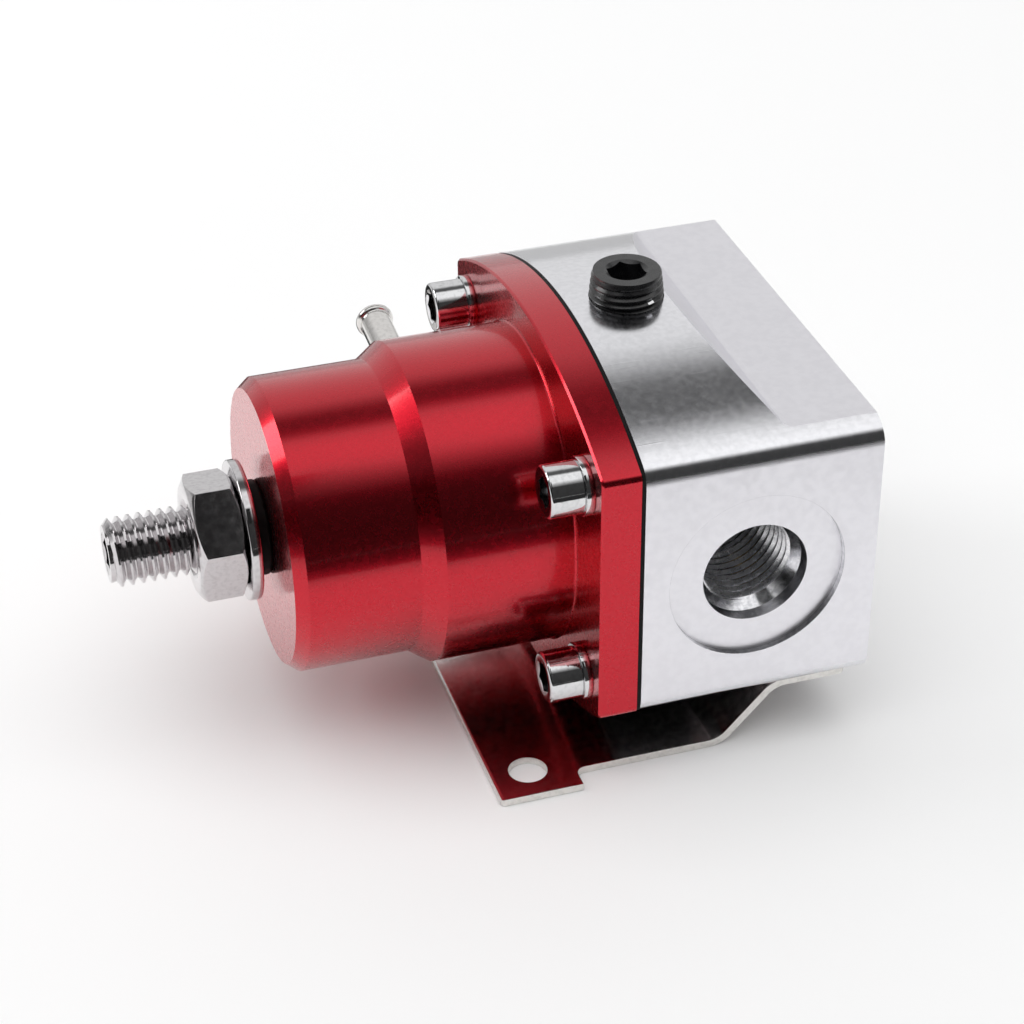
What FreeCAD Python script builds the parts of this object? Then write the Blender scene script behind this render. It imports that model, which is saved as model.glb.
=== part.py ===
import FreeCAD
import Part
import Sketcher
import math
import os
import re

# A return-style fuel pressure regulator. The regulator's axis runs along X: the spring bonnet and
# the adjusting screw lie at -X, the milled block with its ports at +X. Every piece is drawn about
# that axis, with x = 0 on the face of the block that carries the diaphragm, and then stands in
# the part's frame: origin midway between the two mounting holes, on the underside of the bracket's
# foot, +Z up.

V = FreeCAD.Vector
doc = FreeCAD.newDocument("FuelPressureRegulator")

# Driving sizes in millimetres and degrees
SIZES = {
    # block
    "block_width": 66.0,
    "block_length": 34.0,
    "crown_height": 55.4,
    "crown_radius": 68.5,
    "corner_radius": 3.2,
    "flat_height": 41.8,
    "flat_length": 13.0,
    "step_run": 6.8,
    "port_setback": 16.5,
    "spotface_radius": 12.8,
    "spotface_depth": 0.9,
    "mouth_radius": 7.6,
    "mouth_depth": 2.4,
    "thread_bore_radius": 6.45,
    "thread_relief": 0.6,
    "port_depth": 17.0,
    "port_passage_radius": 4.5,
    "return_port_depth": 8.0,
    "seat_wall": 3.5,
    "chamber_radius": 17.0,
    "chamber_depth": 2.2,
    "gallery_radius": 8.0,
    "gauge_setback": 8.8,
    # fastening of the bonnet
    "bolt_edge_margin": 6.5,
    "bolt_spread_up": 30.6,
    "bolt_radius": 2.4,
    "bolt_hole_radius": 2.6,
    "bolt_reach": 12.0,
    "thread_gap": 0.05,
    "head_radius": 3.7,
    "head_height": 4.8,
    "head_bevel": 0.3,
    "screw_point_share": 0.75,
    "socket_flats": 4.0,
    "socket_depth": 2.6,
    "lock_washer_radius": 4.1,
    "lock_washer_thickness": 1.2,
    "lock_washer_slit": 0.7,
    # diaphragm and bonnet
    "diaphragm_thickness": 0.6,
    "flange_thickness": 5.55,
    "flange_corner_radius": 1.2,
    "bonnet_height": 44.3,
    "neck_radius": 23.1,
    "neck_length": 18.3,
    "neck_fillet": 0.35,
    "cone_length": 3.0,
    "barrel_radius": 21.0,
    "end_bevel_length": 1.7,
    "end_bevel_width": 1.35,
    "spring_bore_radius": 16.0,
    "end_wall": 5.0,
    "boss_radius": 8.5,
    "boss_length": 3.0,
    # adjuster
    "screw_radius": 4.92,
    "screw_gap": 0.08,
    "screw_stickout": 22.1,
    "screw_bevel": 0.8,
    "screw_socket_flats": 5.0,
    "screw_socket_depth": 5.0,
    "seal_radius": 6.8,
    "seal_thickness": 2.0,
    "washer_radius": 10.0,
    "washer_thickness": 1.6,
    "washer_hole_radius": 5.25,
    "nut_flats": 16.0,
    "nut_thickness": 6.8,
    "nut_angle": 46.7,
    "nut_land_share": 0.95,
    "contact_gap": 0.05,
    "cap_radius": 14.5,
    "cap_thickness": 2.5,
    "spigot_radius": 8.5,
    "spigot_length": 3.0,
    "spigot_bevel": 0.5,
    # spring and valve
    "spring_length": 28.8,
    "coil_radius": 11.4,
    "wire_radius": 1.5,
    "coil_pitch": 4.25,
    "plate_radius": 14.5,
    "plate_thickness": 1.5,
    "rim_height": 1.5,
    "rim_width": 1.0,
    "lower_plate_radius": 12.0,
    "lower_plate_thickness": 1.2,
    "stem_radius": 3.0,
    "stem_head_radius": 5.0,
    "stem_head_length": 5.2,
    "stem_lip_width": 0.3,
    "stem_lip_length": 0.9,
    "stem_nut_flats": 10.0,
    "stem_nut_thickness": 4.0,
    "stem_tail": 0.8,
    "ball_radius": 3.0,
    "ball_depth": 3.8,
    "seat_bore_radius": 2.2,
    "seat_outlet_radius": 2.8,
    "seat_tube_radius": 4.0,
    "seat_thread_radius": 4.45,
    "seat_nose_radius": 3.2,
    "seat_nose_length": 1.5,
    # gauge port plug
    "plug_radius": 5.25,
    "plug_stickout": 3.9,
    "plug_length": 7.9,
    "plug_taper": 0.25,
    "plug_bevel": 0.45,
    "plug_socket_flats": 5.0,
    "plug_socket_depth": 4.5,
    "plug_mouth_radius": 3.1,
    "plug_mouth_depth": 2.2,
    # vacuum nipple
    "nipple_setback": 16.5,
    "nipple_angle": 6.0,
    "nipple_tip": 44.8,
    "nipple_root_radius": 2.5,
    "nipple_collar_radius": 3.4,
    "nipple_collar_length": 2.0,
    "nipple_collar_gap": 0.2,
    "nipple_seat_depth": 0.3,
    "nipple_stem_radius": 2.4,
    "nipple_lip_radius": 2.9,
    "nipple_lip_length": 1.3,
    "nipple_mouth_radius": 2.5,
    "nipple_foot": 16.5,
    "nipple_bore_radius": 1.5,
    # mounting bracket
    "sheet_thickness": 1.2,
    "foot_clearance": 1.7,
    "bend_radius": 1.0,
    "slope_clearance": 0.5,
    "bracket_hole_setback": 15.0,
    "bracket_hole_spacing": 56.8,
    "bracket_hole_radius": 2.75,
    "strip_width": 60.4,
    "ear_overhang": 3.6,
    "ear_front_margin": 5.6,
    "ear_back_margin": 6.5,
    "ear_corner_radius": 2.6,
    "plate_rear_margin": 2.0,
    "plate_corner_radius": 2.2,
    "bracket_screw_setback": 7.0,
    "bracket_screw_spread": 30.0,
    "bracket_screw_radius": 2.45,
    "bracket_screw_reach": 7.0,
    "bracket_screw_hole_radius": 2.6,
    "bracket_screw_head_radius": 4.6,
    "bracket_screw_crown_radius": 3.2,
    "bracket_screw_head_height": 2.8,
}

sheet = doc.addObject("Spreadsheet::Sheet", "Sizes")
for row, (alias, value) in enumerate(SIZES.items(), start=1):
    sheet.set("A%d" % row, str(value))
    sheet.setAlias("A%d" % row, alias)
doc.recompute()

# Places along the axis that several pieces share, as expressions of the sizes
FLANGE_FRONT = "(diaphragm_thickness + flange_thickness)"
BONNET_END = "(diaphragm_thickness + bonnet_height)"
WASHER_BACK = "(diaphragm_thickness + bonnet_height + seal_thickness)"
NUT_BACK = "(diaphragm_thickness + bonnet_height + seal_thickness + washer_thickness)"
CAP_FRONT = "(diaphragm_thickness + plate_thickness + spring_length)"
CAP_BACK = "(diaphragm_thickness + plate_thickness + spring_length + cap_thickness)"
BALL_CENTRE = "(lower_plate_thickness + ball_depth)"
SEAT_FACE = "(" + BALL_CENTRE + " + sqrt(ball_radius^2 - seat_bore_radius^2) + thread_gap)"
RETURN_FLOOR = "(block_length - return_port_depth)"
FLAT_START = "(block_length - flat_length)"
CROWN_TOP = "(crown_height / 2)"
FOOT_DROP = "(crown_height / 2 + foot_clearance)"
BRACKET_RISE = "(crown_height / 2 + foot_clearance - flat_height / 2)"
SLOPE_RUN = "(" + BRACKET_RISE + " * 2 * step_run / (crown_height - flat_height) - slope_clearance)"
SLOPE_START = "(block_length - flat_length - " + SLOPE_RUN + ")"

nodes = {}


def tied(text):
    """Turn bare size names in a formula into references to the sheet."""
    return re.sub(r"[a-z]+(?:_[a-z]+)+", lambda name: "Sizes." + name.group(0), text)


def bind(thing, path, formula):
    thing.setExpression(path, tied(formula))


def new_body(name):
    return doc.addObject("PartDesign::Body", name)


def new_sketch(body, role, name, along=None, tilt=None):
    """A sketch on one of the body's own origin planes, moved along its x by a formula."""
    sketch = body.newObject("Sketcher::SketchObject", name)
    plane = [feature for feature in body.Origin.OriginFeatures if feature.Role == role][0]
    sketch.AttachmentSupport = [(plane, "")]
    sketch.MapMode = "FlatFace"
    if tilt:
        sketch.AttachmentOffset = FreeCAD.Placement(V(0, 0, 0), FreeCAD.Rotation(V(1, 0, 0), 1))
        bind(sketch, "AttachmentOffset.Rotation.Angle", tilt)
    for axis, formula in (along or {}).items():
        bind(sketch, "AttachmentOffset.Base." + axis, formula)
    return sketch


def pin_point(sketch, geometry, end, x_formula, y_formula):
    """Hold one end of a line at a place given by two formulas."""
    for kind, formula in (("DistanceX", x_formula), ("DistanceY", y_formula)):
        index = sketch.addConstraint(Sketcher.Constraint(kind, -1, 1, geometry, end, 1.0))
        bind(sketch, "Constraints[%d]" % index, formula)


def polygon(sketch, points):
    """A closed outline of straight lines through points given as pairs of formulas."""
    count = len(points)
    start = sketch.GeometryCount
    ring = [
        V(5 * math.cos(2 * math.pi * step / count), 5 * math.sin(2 * math.pi * step / count), 0)
        for step in range(count)
    ]
    for step in range(count):
        sketch.addGeometry(Part.LineSegment(ring[step], ring[(step + 1) % count]))
    for step in range(count):
        follower = start + (step + 1) % count
        sketch.addConstraint(Sketcher.Constraint("Coincident", start + step, 2, follower, 1))
    for step, (x_formula, y_formula) in enumerate(points):
        pin_point(sketch, start + step, 1, x_formula, y_formula)


def circle(sketch, x_formula, y_formula, radius_formula, start=(0.0, 0.0)):
    """A circle whose centre and radius are formulas."""
    index = sketch.addGeometry(Part.Circle(V(start[0], start[1], 0), V(0, 0, 1), 1.0))
    for kind, formula in (("DistanceX", x_formula), ("DistanceY", y_formula)):
        place = sketch.addConstraint(Sketcher.Constraint(kind, -1, 1, index, 3, 1.0))
        bind(sketch, "Constraints[%d]" % place, formula)
    size = sketch.addConstraint(Sketcher.Constraint("Radius", index, 1.0))
    bind(sketch, "Constraints[%d]" % size, radius_formula)


def hexagon(sketch, flats_formula, turn="0"):
    """A hexagon about the sketch's origin, given by its width across flats."""
    corners = []
    for step in range(6):
        angle = "(%s + %d)" % (turn, 60 * step)
        reach = "(%s) / 2 / cos(30)" % flats_formula
        corners.append(("%s * cos(%s)" % (reach, angle), "%s * sin(%s)" % (reach, angle)))
    polygon(sketch, corners)


def revolve(body, sketch, axis, kind="PartDesign::Revolution"):
    turned = body.newObject(kind, sketch.Name + "_turned")
    turned.Profile = sketch
    turned.ReferenceAxis = (sketch, [axis])
    turned.Angle = 360
    return turned


def pad(body, sketch, length, reverse=False, midplane=False):
    solid = body.newObject("PartDesign::Pad", sketch.Name + "_pad")
    solid.Profile = sketch
    bind(solid, "Length", length)
    solid.Reversed = reverse
    solid.Midplane = midplane
    return solid


def pocket(body, sketch, length=None, reverse=False, midplane=False):
    """Cut a sketch into the body: to a depth, or right through both ways."""
    cut = body.newObject("PartDesign::Pocket", sketch.Name + "_pocket")
    cut.Profile = sketch
    if length is None:
        cut.Type = 1
        cut.Midplane = True
    else:
        bind(cut, "Length", length)
        cut.Reversed = reverse
        cut.Midplane = midplane
    return cut


def fillet(body, wanted, radius, name):
    """Round the edges of the body's last feature for which wanted(edge) holds."""
    doc.recompute()
    base = body.Tip
    names = ["Edge%d" % (place + 1) for place, edge in enumerate(base.Shape.Edges) if wanted(edge)]
    round_off = body.newObject("PartDesign::Fillet", name)
    round_off.Base = (base, names)
    bind(round_off, "Radius", radius)
    return round_off


def along(edge, axis):
    """Whether a straight edge runs along the axis given as a letter."""
    if not isinstance(edge.Curve, (Part.Line, Part.LineSegment)):
        return False
    first, last = edge.Vertexes[0].Point, edge.Vertexes[-1].Point
    reach = last - first
    return abs(abs(getattr(reach, axis)) - reach.Length) < 1e-6


def middle(edge):
    return edge.BoundBox.Center


def place(thing, x="0", y="0", z="0"):
    """Stand a piece in the part's frame, x, y and z being its place about the regulator's axis."""
    bind(thing, "Placement.Base.x", "bracket_hole_setback + " + x)
    bind(thing, "Placement.Base.y", y)
    bind(thing, "Placement.Base.z", FOOT_DROP + " + sheet_thickness + " + z)


def keep(thing, name):
    """Register a finished piece under the name of its node."""
    thing.Label = name
    nodes[name] = thing
    return thing


def turned_piece(name, points, role="XY_Plane", axis="H_Axis"):
    """A body turned about its axis from one closed half section."""
    body = new_body(name + "_body")
    sketch = new_sketch(body, role, name + "_section")
    polygon(sketch, points)
    revolve(body, sketch, axis)
    return body


def crown_outline(sketch):
    """The outline of block, diaphragm and flange: two flat sides and two wide arcs."""
    half_width = SIZES["block_width"] / 2
    radius = SIZES["crown_radius"]
    drop = radius - SIZES["crown_height"] / 2
    sweep = math.asin(half_width / radius)
    level = math.sqrt(radius**2 - half_width**2) - drop
    right = Part.LineSegment(V(half_width, -level, 0), V(half_width, level, 0))
    left = Part.LineSegment(V(-half_width, level, 0), V(-half_width, -level, 0))
    upper_circle = Part.Circle(V(0, -drop, 0), V(0, 0, 1), radius)
    lower_circle = Part.Circle(V(0, drop, 0), V(0, 0, 1), radius)
    quarter = math.pi / 2
    upper = Part.ArcOfCircle(upper_circle, quarter - sweep, quarter + sweep)
    lower = Part.ArcOfCircle(lower_circle, 3 * quarter - sweep, 3 * quarter + sweep)
    sketch.addGeometry([right, upper, left, lower])
    for first, second in ((0, 1), (1, 2), (2, 3), (3, 0)):
        sketch.addConstraint(Sketcher.Constraint("Coincident", first, 2, second, 1))
    for line, side in ((0, 1), (2, -1)):
        sketch.addConstraint(Sketcher.Constraint("Vertical", line))
        index = sketch.addConstraint(
            Sketcher.Constraint("DistanceX", -1, 1, line, 1, side * half_width)
        )
        bind(sketch, "Constraints[%d]" % index, "%d * block_width / 2" % side)
    for arc, side in ((1, -1), (3, 1)):
        index = sketch.addConstraint(Sketcher.Constraint("DistanceX", -1, 1, arc, 3, 0.0))
        index = sketch.addConstraint(
            Sketcher.Constraint("DistanceY", -1, 1, arc, 3, side * drop)
        )
        bind(sketch, "Constraints[%d]" % index, "%d * (crown_radius - crown_height / 2)" % side)
        index = sketch.addConstraint(Sketcher.Constraint("Radius", arc, radius))
        bind(sketch, "Constraints[%d]" % index, "crown_radius")


def bolt_circles(sketch, radius_formula):
    """The four screw holes, on a sketch whose x is the part's Y."""
    for across in (-1, 1):
        for up in (-1, 1):
            circle(
                sketch,
                "%d * (block_width / 2 - bolt_edge_margin)" % across,
                "%d * bolt_spread_up / 2" % up,
                radius_formula,
                (20.0 * across, 15.0 * up),
            )


def long_corner(edge):
    """The four long corners between the crown and the flat sides."""
    spot = middle(edge)
    return along(edge, "x") and abs(spot.y) > 0.45 * SIZES["block_width"]


def make_regulator_body():
    """The milled block: crowned top and bottom, flats at the rear, ports and inner galleries."""
    body = new_body("block_body")
    outline = new_sketch(body, "YZ_Plane", "block_outline")
    crown_outline(outline)
    pad(body, outline, "block_length")
    fillet(body, long_corner, "corner_radius", "block_corners")

    flats = new_sketch(body, "XZ_Plane", "rear_flats")
    for side in (1, -1):
        over = "%d * (crown_height / 2 + 2)" % side
        slope = "step_run / (crown_height / 2 - flat_height / 2)"
        polygon(
            flats,
            [
                (FLAT_START, "%d * flat_height / 2" % side),
                ("block_length + 1", "%d * flat_height / 2" % side),
                ("block_length + 1", over),
                (FLAT_START + " - step_run - 2 * " + slope, over),
            ],
        )
    pocket(body, flats)

    inside = new_sketch(body, "XY_Plane", "axial_bores")
    polygon(
        inside,
        [
            ("-1", "0"),
            ("-1", "chamber_radius"),
            ("chamber_depth", "chamber_radius"),
            ("chamber_depth", "gallery_radius"),
            (RETURN_FLOOR + " - seat_wall", "gallery_radius"),
            (RETURN_FLOOR + " - seat_wall", "seat_thread_radius + thread_gap"),
            (RETURN_FLOOR, "seat_thread_radius + thread_gap"),
            (RETURN_FLOOR, "thread_bore_radius"),
            ("block_length - spotface_depth - mouth_depth - thread_relief", "thread_bore_radius"),
            ("block_length - spotface_depth - mouth_depth", "mouth_radius"),
            ("block_length - spotface_depth", "mouth_radius"),
            ("block_length - spotface_depth", "spotface_radius"),
            ("block_length + 1", "spotface_radius"),
            ("block_length + 1", "0"),
        ],
    )
    revolve(body, inside, "H_Axis", "PartDesign::Groove")

    across = new_sketch(body, "XY_Plane", "side_ports", {"x": "port_setback"})
    half = [
        ("spotface_radius", "block_width / 2 + 1"),
        ("spotface_radius", "block_width / 2 - spotface_depth"),
        ("mouth_radius", "block_width / 2 - spotface_depth"),
        ("mouth_radius", "block_width / 2 - spotface_depth - mouth_depth"),
        ("thread_bore_radius", "block_width / 2 - spotface_depth - mouth_depth - thread_relief"),
        ("thread_bore_radius", "block_width / 2 - port_depth"),
        ("port_passage_radius", "block_width / 2 - port_depth"),
    ]
    far_half = [(reach, "-(" + level + ")") for reach, level in reversed(half)]
    ends = [("0", "-(block_width / 2 + 1)"), ("0", "block_width / 2 + 1")]
    polygon(across, half + far_half + ends)
    revolve(body, across, "V_Axis", "PartDesign::Groove")

    gauge = new_sketch(body, "XZ_Plane", "gauge_port", {"x": "gauge_setback"})
    polygon(
        gauge,
        [
            ("0", "0"),
            ("plug_radius + thread_gap", "0"),
            ("plug_radius + thread_gap", "crown_height / 2 + 1"),
            ("0", "crown_height / 2 + 1"),
        ],
    )
    revolve(body, gauge, "V_Axis", "PartDesign::Groove")

    bolts = new_sketch(body, "YZ_Plane", "tapped_holes")
    bolt_circles(bolts, "bolt_radius + thread_gap")
    pocket(body, bolts, "bolt_reach + 2", reverse=True)

    holes = new_sketch(body, "XY_Plane", "bracket_tapped_holes", {"z": "-flat_height / 2"})
    for side in (-1, 1):
        circle(
            holes,
            "block_length - bracket_screw_setback",
            "%d * bracket_screw_spread / 2" % side,
            "bracket_screw_radius + thread_gap",
            (27.0, 15.0 * side),
        )
    pocket(body, holes, "bracket_screw_reach + 1", reverse=True)
    place(body)
    keep(body, "regulator_body")


def make_bonnet():
    """The turned spring housing with its flange."""
    body = new_body("bonnet_body")
    outline = new_sketch(body, "YZ_Plane", "flange_outline", {"z": "-diaphragm_thickness"})
    crown_outline(outline)
    pad(body, outline, "flange_thickness", reverse=True)
    fillet(body, long_corner, "flange_corner_radius", "flange_corners")

    shell = new_sketch(body, "XY_Plane", "barrel_section")
    neck_front = "-(" + FLANGE_FRONT + " + neck_length)"
    polygon(
        shell,
        [
            ("-diaphragm_thickness", "0"),
            ("-diaphragm_thickness", "neck_radius"),
            (neck_front, "neck_radius"),
            (neck_front + " - cone_length", "barrel_radius"),
            ("-" + BONNET_END + " + end_bevel_length", "barrel_radius"),
            ("-" + BONNET_END, "barrel_radius - end_bevel_width"),
            ("-" + BONNET_END, "0"),
        ],
    )
    revolve(body, shell, "H_Axis")

    def neck_root(edge):
        level = SIZES["diaphragm_thickness"] + SIZES["flange_thickness"]
        curve = edge.Curve
        if not isinstance(curve, Part.Circle):
            return False
        spot = edge.BoundBox.Center
        return abs(spot.x + level) < 1e-3 and abs(curve.Radius - SIZES["neck_radius"]) < 1e-3

    fillet(body, neck_root, "neck_fillet", "neck_root")

    hollow = new_sketch(body, "XY_Plane", "bonnet_bore")
    inner_end = "-(" + BONNET_END + " - end_wall)"
    polygon(
        hollow,
        [
            ("1", "0"),
            ("1", "spring_bore_radius"),
            (inner_end, "spring_bore_radius"),
            (inner_end, "boss_radius"),
            (inner_end + " + boss_length", "boss_radius"),
            (inner_end + " + boss_length", "screw_radius + screw_gap"),
            ("-" + BONNET_END + " - 1", "screw_radius + screw_gap"),
            ("-" + BONNET_END + " - 1", "0"),
        ],
    )
    revolve(body, hollow, "H_Axis", "PartDesign::Groove")

    port = new_sketch(body, "XY_Plane", "vacuum_port", {"x": "-nipple_setback"}, "nipple_angle")
    seat = "neck_radius - nipple_seat_depth"
    polygon(
        port,
        [
            ("0", "boss_radius"),
            ("nipple_root_radius + thread_gap", "boss_radius"),
            ("nipple_root_radius + thread_gap", seat),
            ("nipple_collar_radius + nipple_collar_gap", seat),
            ("nipple_collar_radius + nipple_collar_gap", "neck_radius + 1"),
            ("0", "neck_radius + 1"),
        ],
    )
    revolve(body, port, "V_Axis", "PartDesign::Groove")

    bolts = new_sketch(body, "YZ_Plane", "clearance_holes")
    bolt_circles(bolts, "bolt_hole_radius")
    pocket(body, bolts)
    place(body)
    keep(body, "bonnet")


def make_diaphragm():
    """The rubberised fabric disc, cut to the flange's outline and clamped all round."""
    body = new_body("diaphragm_body")
    outline = new_sketch(body, "YZ_Plane", "diaphragm_outline")
    crown_outline(outline)
    pad(body, outline, "diaphragm_thickness", reverse=True)
    fillet(body, long_corner, "flange_corner_radius", "diaphragm_corners")
    holes = new_sketch(body, "YZ_Plane", "diaphragm_holes")
    bolt_circles(holes, "bolt_hole_radius")
    circle(holes, "0", "0", "stem_radius + thread_gap")
    pocket(body, holes)
    place(body)
    keep(body, "diaphragm")


def make_adjusting_screw():
    """A long set screw with a socket in its outer end."""
    outer = "-(" + BONNET_END + " + screw_stickout)"
    inner = "-(" + CAP_BACK + " + contact_gap)"
    body = turned_piece(
        "adjusting_screw",
        [
            (outer, "0"),
            (outer, "screw_radius - screw_bevel"),
            (outer + " + screw_bevel", "screw_radius"),
            (inner + " - screw_bevel", "screw_radius"),
            (inner, "screw_radius - screw_bevel"),
            (inner, "0"),
        ],
    )
    socket = new_sketch(body, "YZ_Plane", "adjusting_socket", {"z": outer})
    hexagon(socket, "screw_socket_flats")
    pocket(body, socket, "screw_socket_depth", reverse=True)
    place(body)
    keep(body, "adjusting_screw")


def make_hex_nut(name, flats, thickness, bore, back, turn):
    """A hexagon nut with both ends bevelled, its rear face at the distance called back."""
    land = flats + " / 2 * nut_land_share"
    reach = flats + " / 2 / cos(30) + thread_gap"
    bevel = "(" + reach + " - " + land + ") * tan(30)"
    front = "-(" + back + " + " + thickness + ")"
    rear = "-(" + back + ")"
    envelope = turned_piece(
        name + "_envelope",
        [
            (rear, bore),
            (rear, land),
            (rear + " - " + bevel, reach),
            (front + " + " + bevel, reach),
            (front, land),
            (front, bore),
        ],
    )
    prism = doc.addObject("Part::Prism", name + "_hexagon")
    prism.Polygon = 6
    bind(prism, "Circumradius", flats + " / 2 / cos(30)")
    bind(prism, "Height", thickness)
    upright = FreeCAD.Rotation(V(0, 1, 0), 90)
    spin = FreeCAD.Rotation(V(1, 0, 0), turn)
    prism.Placement = FreeCAD.Placement(V(0, 0, 0), spin * upright)
    bind(prism, "Placement.Base.x", front)
    nut = doc.addObject("Part::MultiCommon", name + "_common")
    nut.Shapes = [prism, envelope]
    place(nut)
    keep(nut, name)


def ring_piece(name, inner, outer, start, length):
    """A plain ring between two radii, from start towards +X."""
    body = turned_piece(
        name,
        [
            (start, inner),
            (start, outer),
            (start + " + " + length, outer),
            (start + " + " + length, inner),
        ],
    )
    place(body)
    keep(body, name)


def make_adjuster_rings():
    """The rubber seal under the washer, and the washer itself."""
    ring_piece(
        "screw_seal", "screw_radius + screw_gap", "seal_radius", "-" + WASHER_BACK, "seal_thickness"
    )
    ring_piece(
        "nut_washer", "washer_hole_radius", "washer_radius", "-" + NUT_BACK, "washer_thickness"
    )


def make_spring_cap():
    """The disc that the adjusting screw pushes, with a spigot inside the spring."""
    body = turned_piece(
        "spring_cap",
        [
            ("-" + CAP_BACK, "0"),
            ("-" + CAP_BACK, "cap_radius"),
            ("-" + CAP_FRONT, "cap_radius"),
            ("-" + CAP_FRONT, "spigot_radius"),
            ("-" + CAP_FRONT + " + spigot_length", "spigot_radius - spigot_bevel"),
            ("-" + CAP_FRONT + " + spigot_length", "0"),
        ],
    )
    place(body)
    keep(body, "spring_cap")


def make_spring():
    """A round-wire compression spring between the cap and the diaphragm's upper plate."""
    helix = doc.addObject("Part::Helix", "spring_line")
    bind(helix, "Pitch", "coil_pitch")
    bind(helix, "Height", "spring_length - 2 * wire_radius - 2 * contact_gap")
    bind(helix, "Radius", "coil_radius")
    wire = doc.addObject("Part::Circle", "spring_wire")
    bind(wire, "Radius", "wire_radius")
    wire.Placement = FreeCAD.Placement(V(0, 0, 0), FreeCAD.Rotation(V(1, 0, 0), 90))
    bind(wire, "Placement.Base.x", "coil_radius")
    spring = doc.addObject("Part::Sweep", "spring_coil")
    spring.Sections = [wire]
    spring.Spine = (helix, [])
    spring.Solid = True
    spring.Frenet = True
    spring.Placement = FreeCAD.Placement(V(0, 0, 0), FreeCAD.Rotation(V(0, 1, 0), 90))
    place(spring, "-" + CAP_FRONT + " + wire_radius + contact_gap")
    keep(spring, "spring")


def make_valve_group():
    """What the diaphragm carries: two plates, the stem with its nut, and the valve ball."""
    plate_top = "-(diaphragm_thickness + plate_thickness)"
    hole = "stem_radius + thread_gap"
    upper = turned_piece(
        "diaphragm_upper_plate",
        [
            ("-diaphragm_thickness", hole),
            ("-diaphragm_thickness", "plate_radius"),
            (plate_top + " - rim_height", "plate_radius"),
            (plate_top + " - rim_height", "plate_radius - rim_width"),
            (plate_top, "plate_radius - rim_width"),
            (plate_top, hole),
        ],
    )
    place(upper)
    keep(upper, "diaphragm_upper_plate")
    ring_piece(
        "diaphragm_lower_plate", hole, "lower_plate_radius", "0", "lower_plate_thickness"
    )

    head_end = "lower_plate_thickness + stem_head_length"
    pocket_floor = BALL_CENTRE + " - ball_radius"
    pocket_radius = "(ball_radius + thread_gap)"
    tail_end = plate_top + " - stem_nut_thickness - stem_tail"
    stem = turned_piece(
        "valve_stem",
        [
            (tail_end, "0"),
            (tail_end, "stem_radius"),
            ("lower_plate_thickness", "stem_radius"),
            ("lower_plate_thickness", "stem_head_radius"),
            (head_end, "stem_head_radius"),
            (head_end, pocket_radius + " - stem_lip_width"),
            (head_end + " - stem_lip_length", pocket_radius),
            (pocket_floor, pocket_radius),
            (pocket_floor, "0"),
        ],
    )
    place(stem)
    keep(stem, "valve_stem")
    make_hex_nut(
        "stem_nut",
        "stem_nut_flats",
        "stem_nut_thickness",
        hole,
        "diaphragm_thickness + plate_thickness",
        0,
    )

    ball = doc.addObject("Part::Sphere", "ball")
    bind(ball, "Radius", "ball_radius")
    place(ball, BALL_CENTRE)
    keep(ball, "valve_ball")


def make_valve_seat():
    """The brass tube that carries fuel from the ball to the return port."""
    step = SEAT_FACE + " + 4 * seat_nose_length"
    body = turned_piece(
        "valve_seat",
        [
            (SEAT_FACE, "seat_bore_radius"),
            (SEAT_FACE, "seat_nose_radius"),
            (SEAT_FACE + " + seat_nose_length", "seat_tube_radius"),
            (RETURN_FLOOR + " - seat_wall", "seat_tube_radius"),
            (RETURN_FLOOR + " - seat_wall", "seat_thread_radius"),
            (RETURN_FLOOR, "seat_thread_radius"),
            (RETURN_FLOOR, "seat_outlet_radius"),
            (step, "seat_outlet_radius"),
            (step, "seat_bore_radius"),
        ],
    )
    place(body)
    keep(body, "valve_seat")


def make_cap_screw(number, across, up):
    """One socket head screw; its own origin lies under the head."""
    name = "cap_screw_%d" % number
    tip = "lock_washer_thickness + flange_thickness + diaphragm_thickness + bolt_reach"
    body = turned_piece(
        name,
        [
            ("-head_height", "0"),
            ("-head_height", "head_radius - head_bevel"),
            ("-head_height + head_bevel", "head_radius"),
            ("0", "head_radius"),
            ("0", "bolt_radius"),
            (tip + " - bolt_radius / 4", "bolt_radius"),
            (tip, "bolt_radius * screw_point_share"),
            (tip, "0"),
        ],
    )
    socket = new_sketch(body, "YZ_Plane", name + "_socket", {"z": "-head_height"})
    hexagon(socket, "socket_flats")
    pocket(body, socket, "socket_depth", reverse=True)
    place(
        body,
        "-(" + FLANGE_FRONT + " + lock_washer_thickness)",
        "%d * (block_width / 2 - bolt_edge_margin)" % across,
        "%d * bolt_spread_up / 2" % up,
    )
    keep(body, name)


def make_lock_washer(number, across, up):
    """One split spring washer, pressed flat; its own origin lies on the flange."""
    name = "lock_washer_%d" % number
    body = turned_piece(
        name,
        [
            ("-lock_washer_thickness", "bolt_radius + thread_gap"),
            ("-lock_washer_thickness", "lock_washer_radius"),
            ("0", "lock_washer_radius"),
            ("0", "bolt_radius + thread_gap"),
        ],
    )
    slit = new_sketch(body, "XZ_Plane", name + "_slit")
    lean = "lock_washer_thickness / 2"
    edge = "lock_washer_slit / 2"
    polygon(
        slit,
        [
            ("-lock_washer_thickness - 0.1", "-" + edge + " - " + lean),
            ("0.1", "-" + edge + " + " + lean),
            ("0.1", edge + " + " + lean),
            ("-lock_washer_thickness - 0.1", edge + " - " + lean),
        ],
    )
    pocket(body, slit, "lock_washer_radius + 1", reverse=across > 0)
    place(
        body,
        "-" + FLANGE_FRONT,
        "%d * (block_width / 2 - bolt_edge_margin)" % across,
        "%d * bolt_spread_up / 2" % up,
    )
    keep(body, name)


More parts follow.
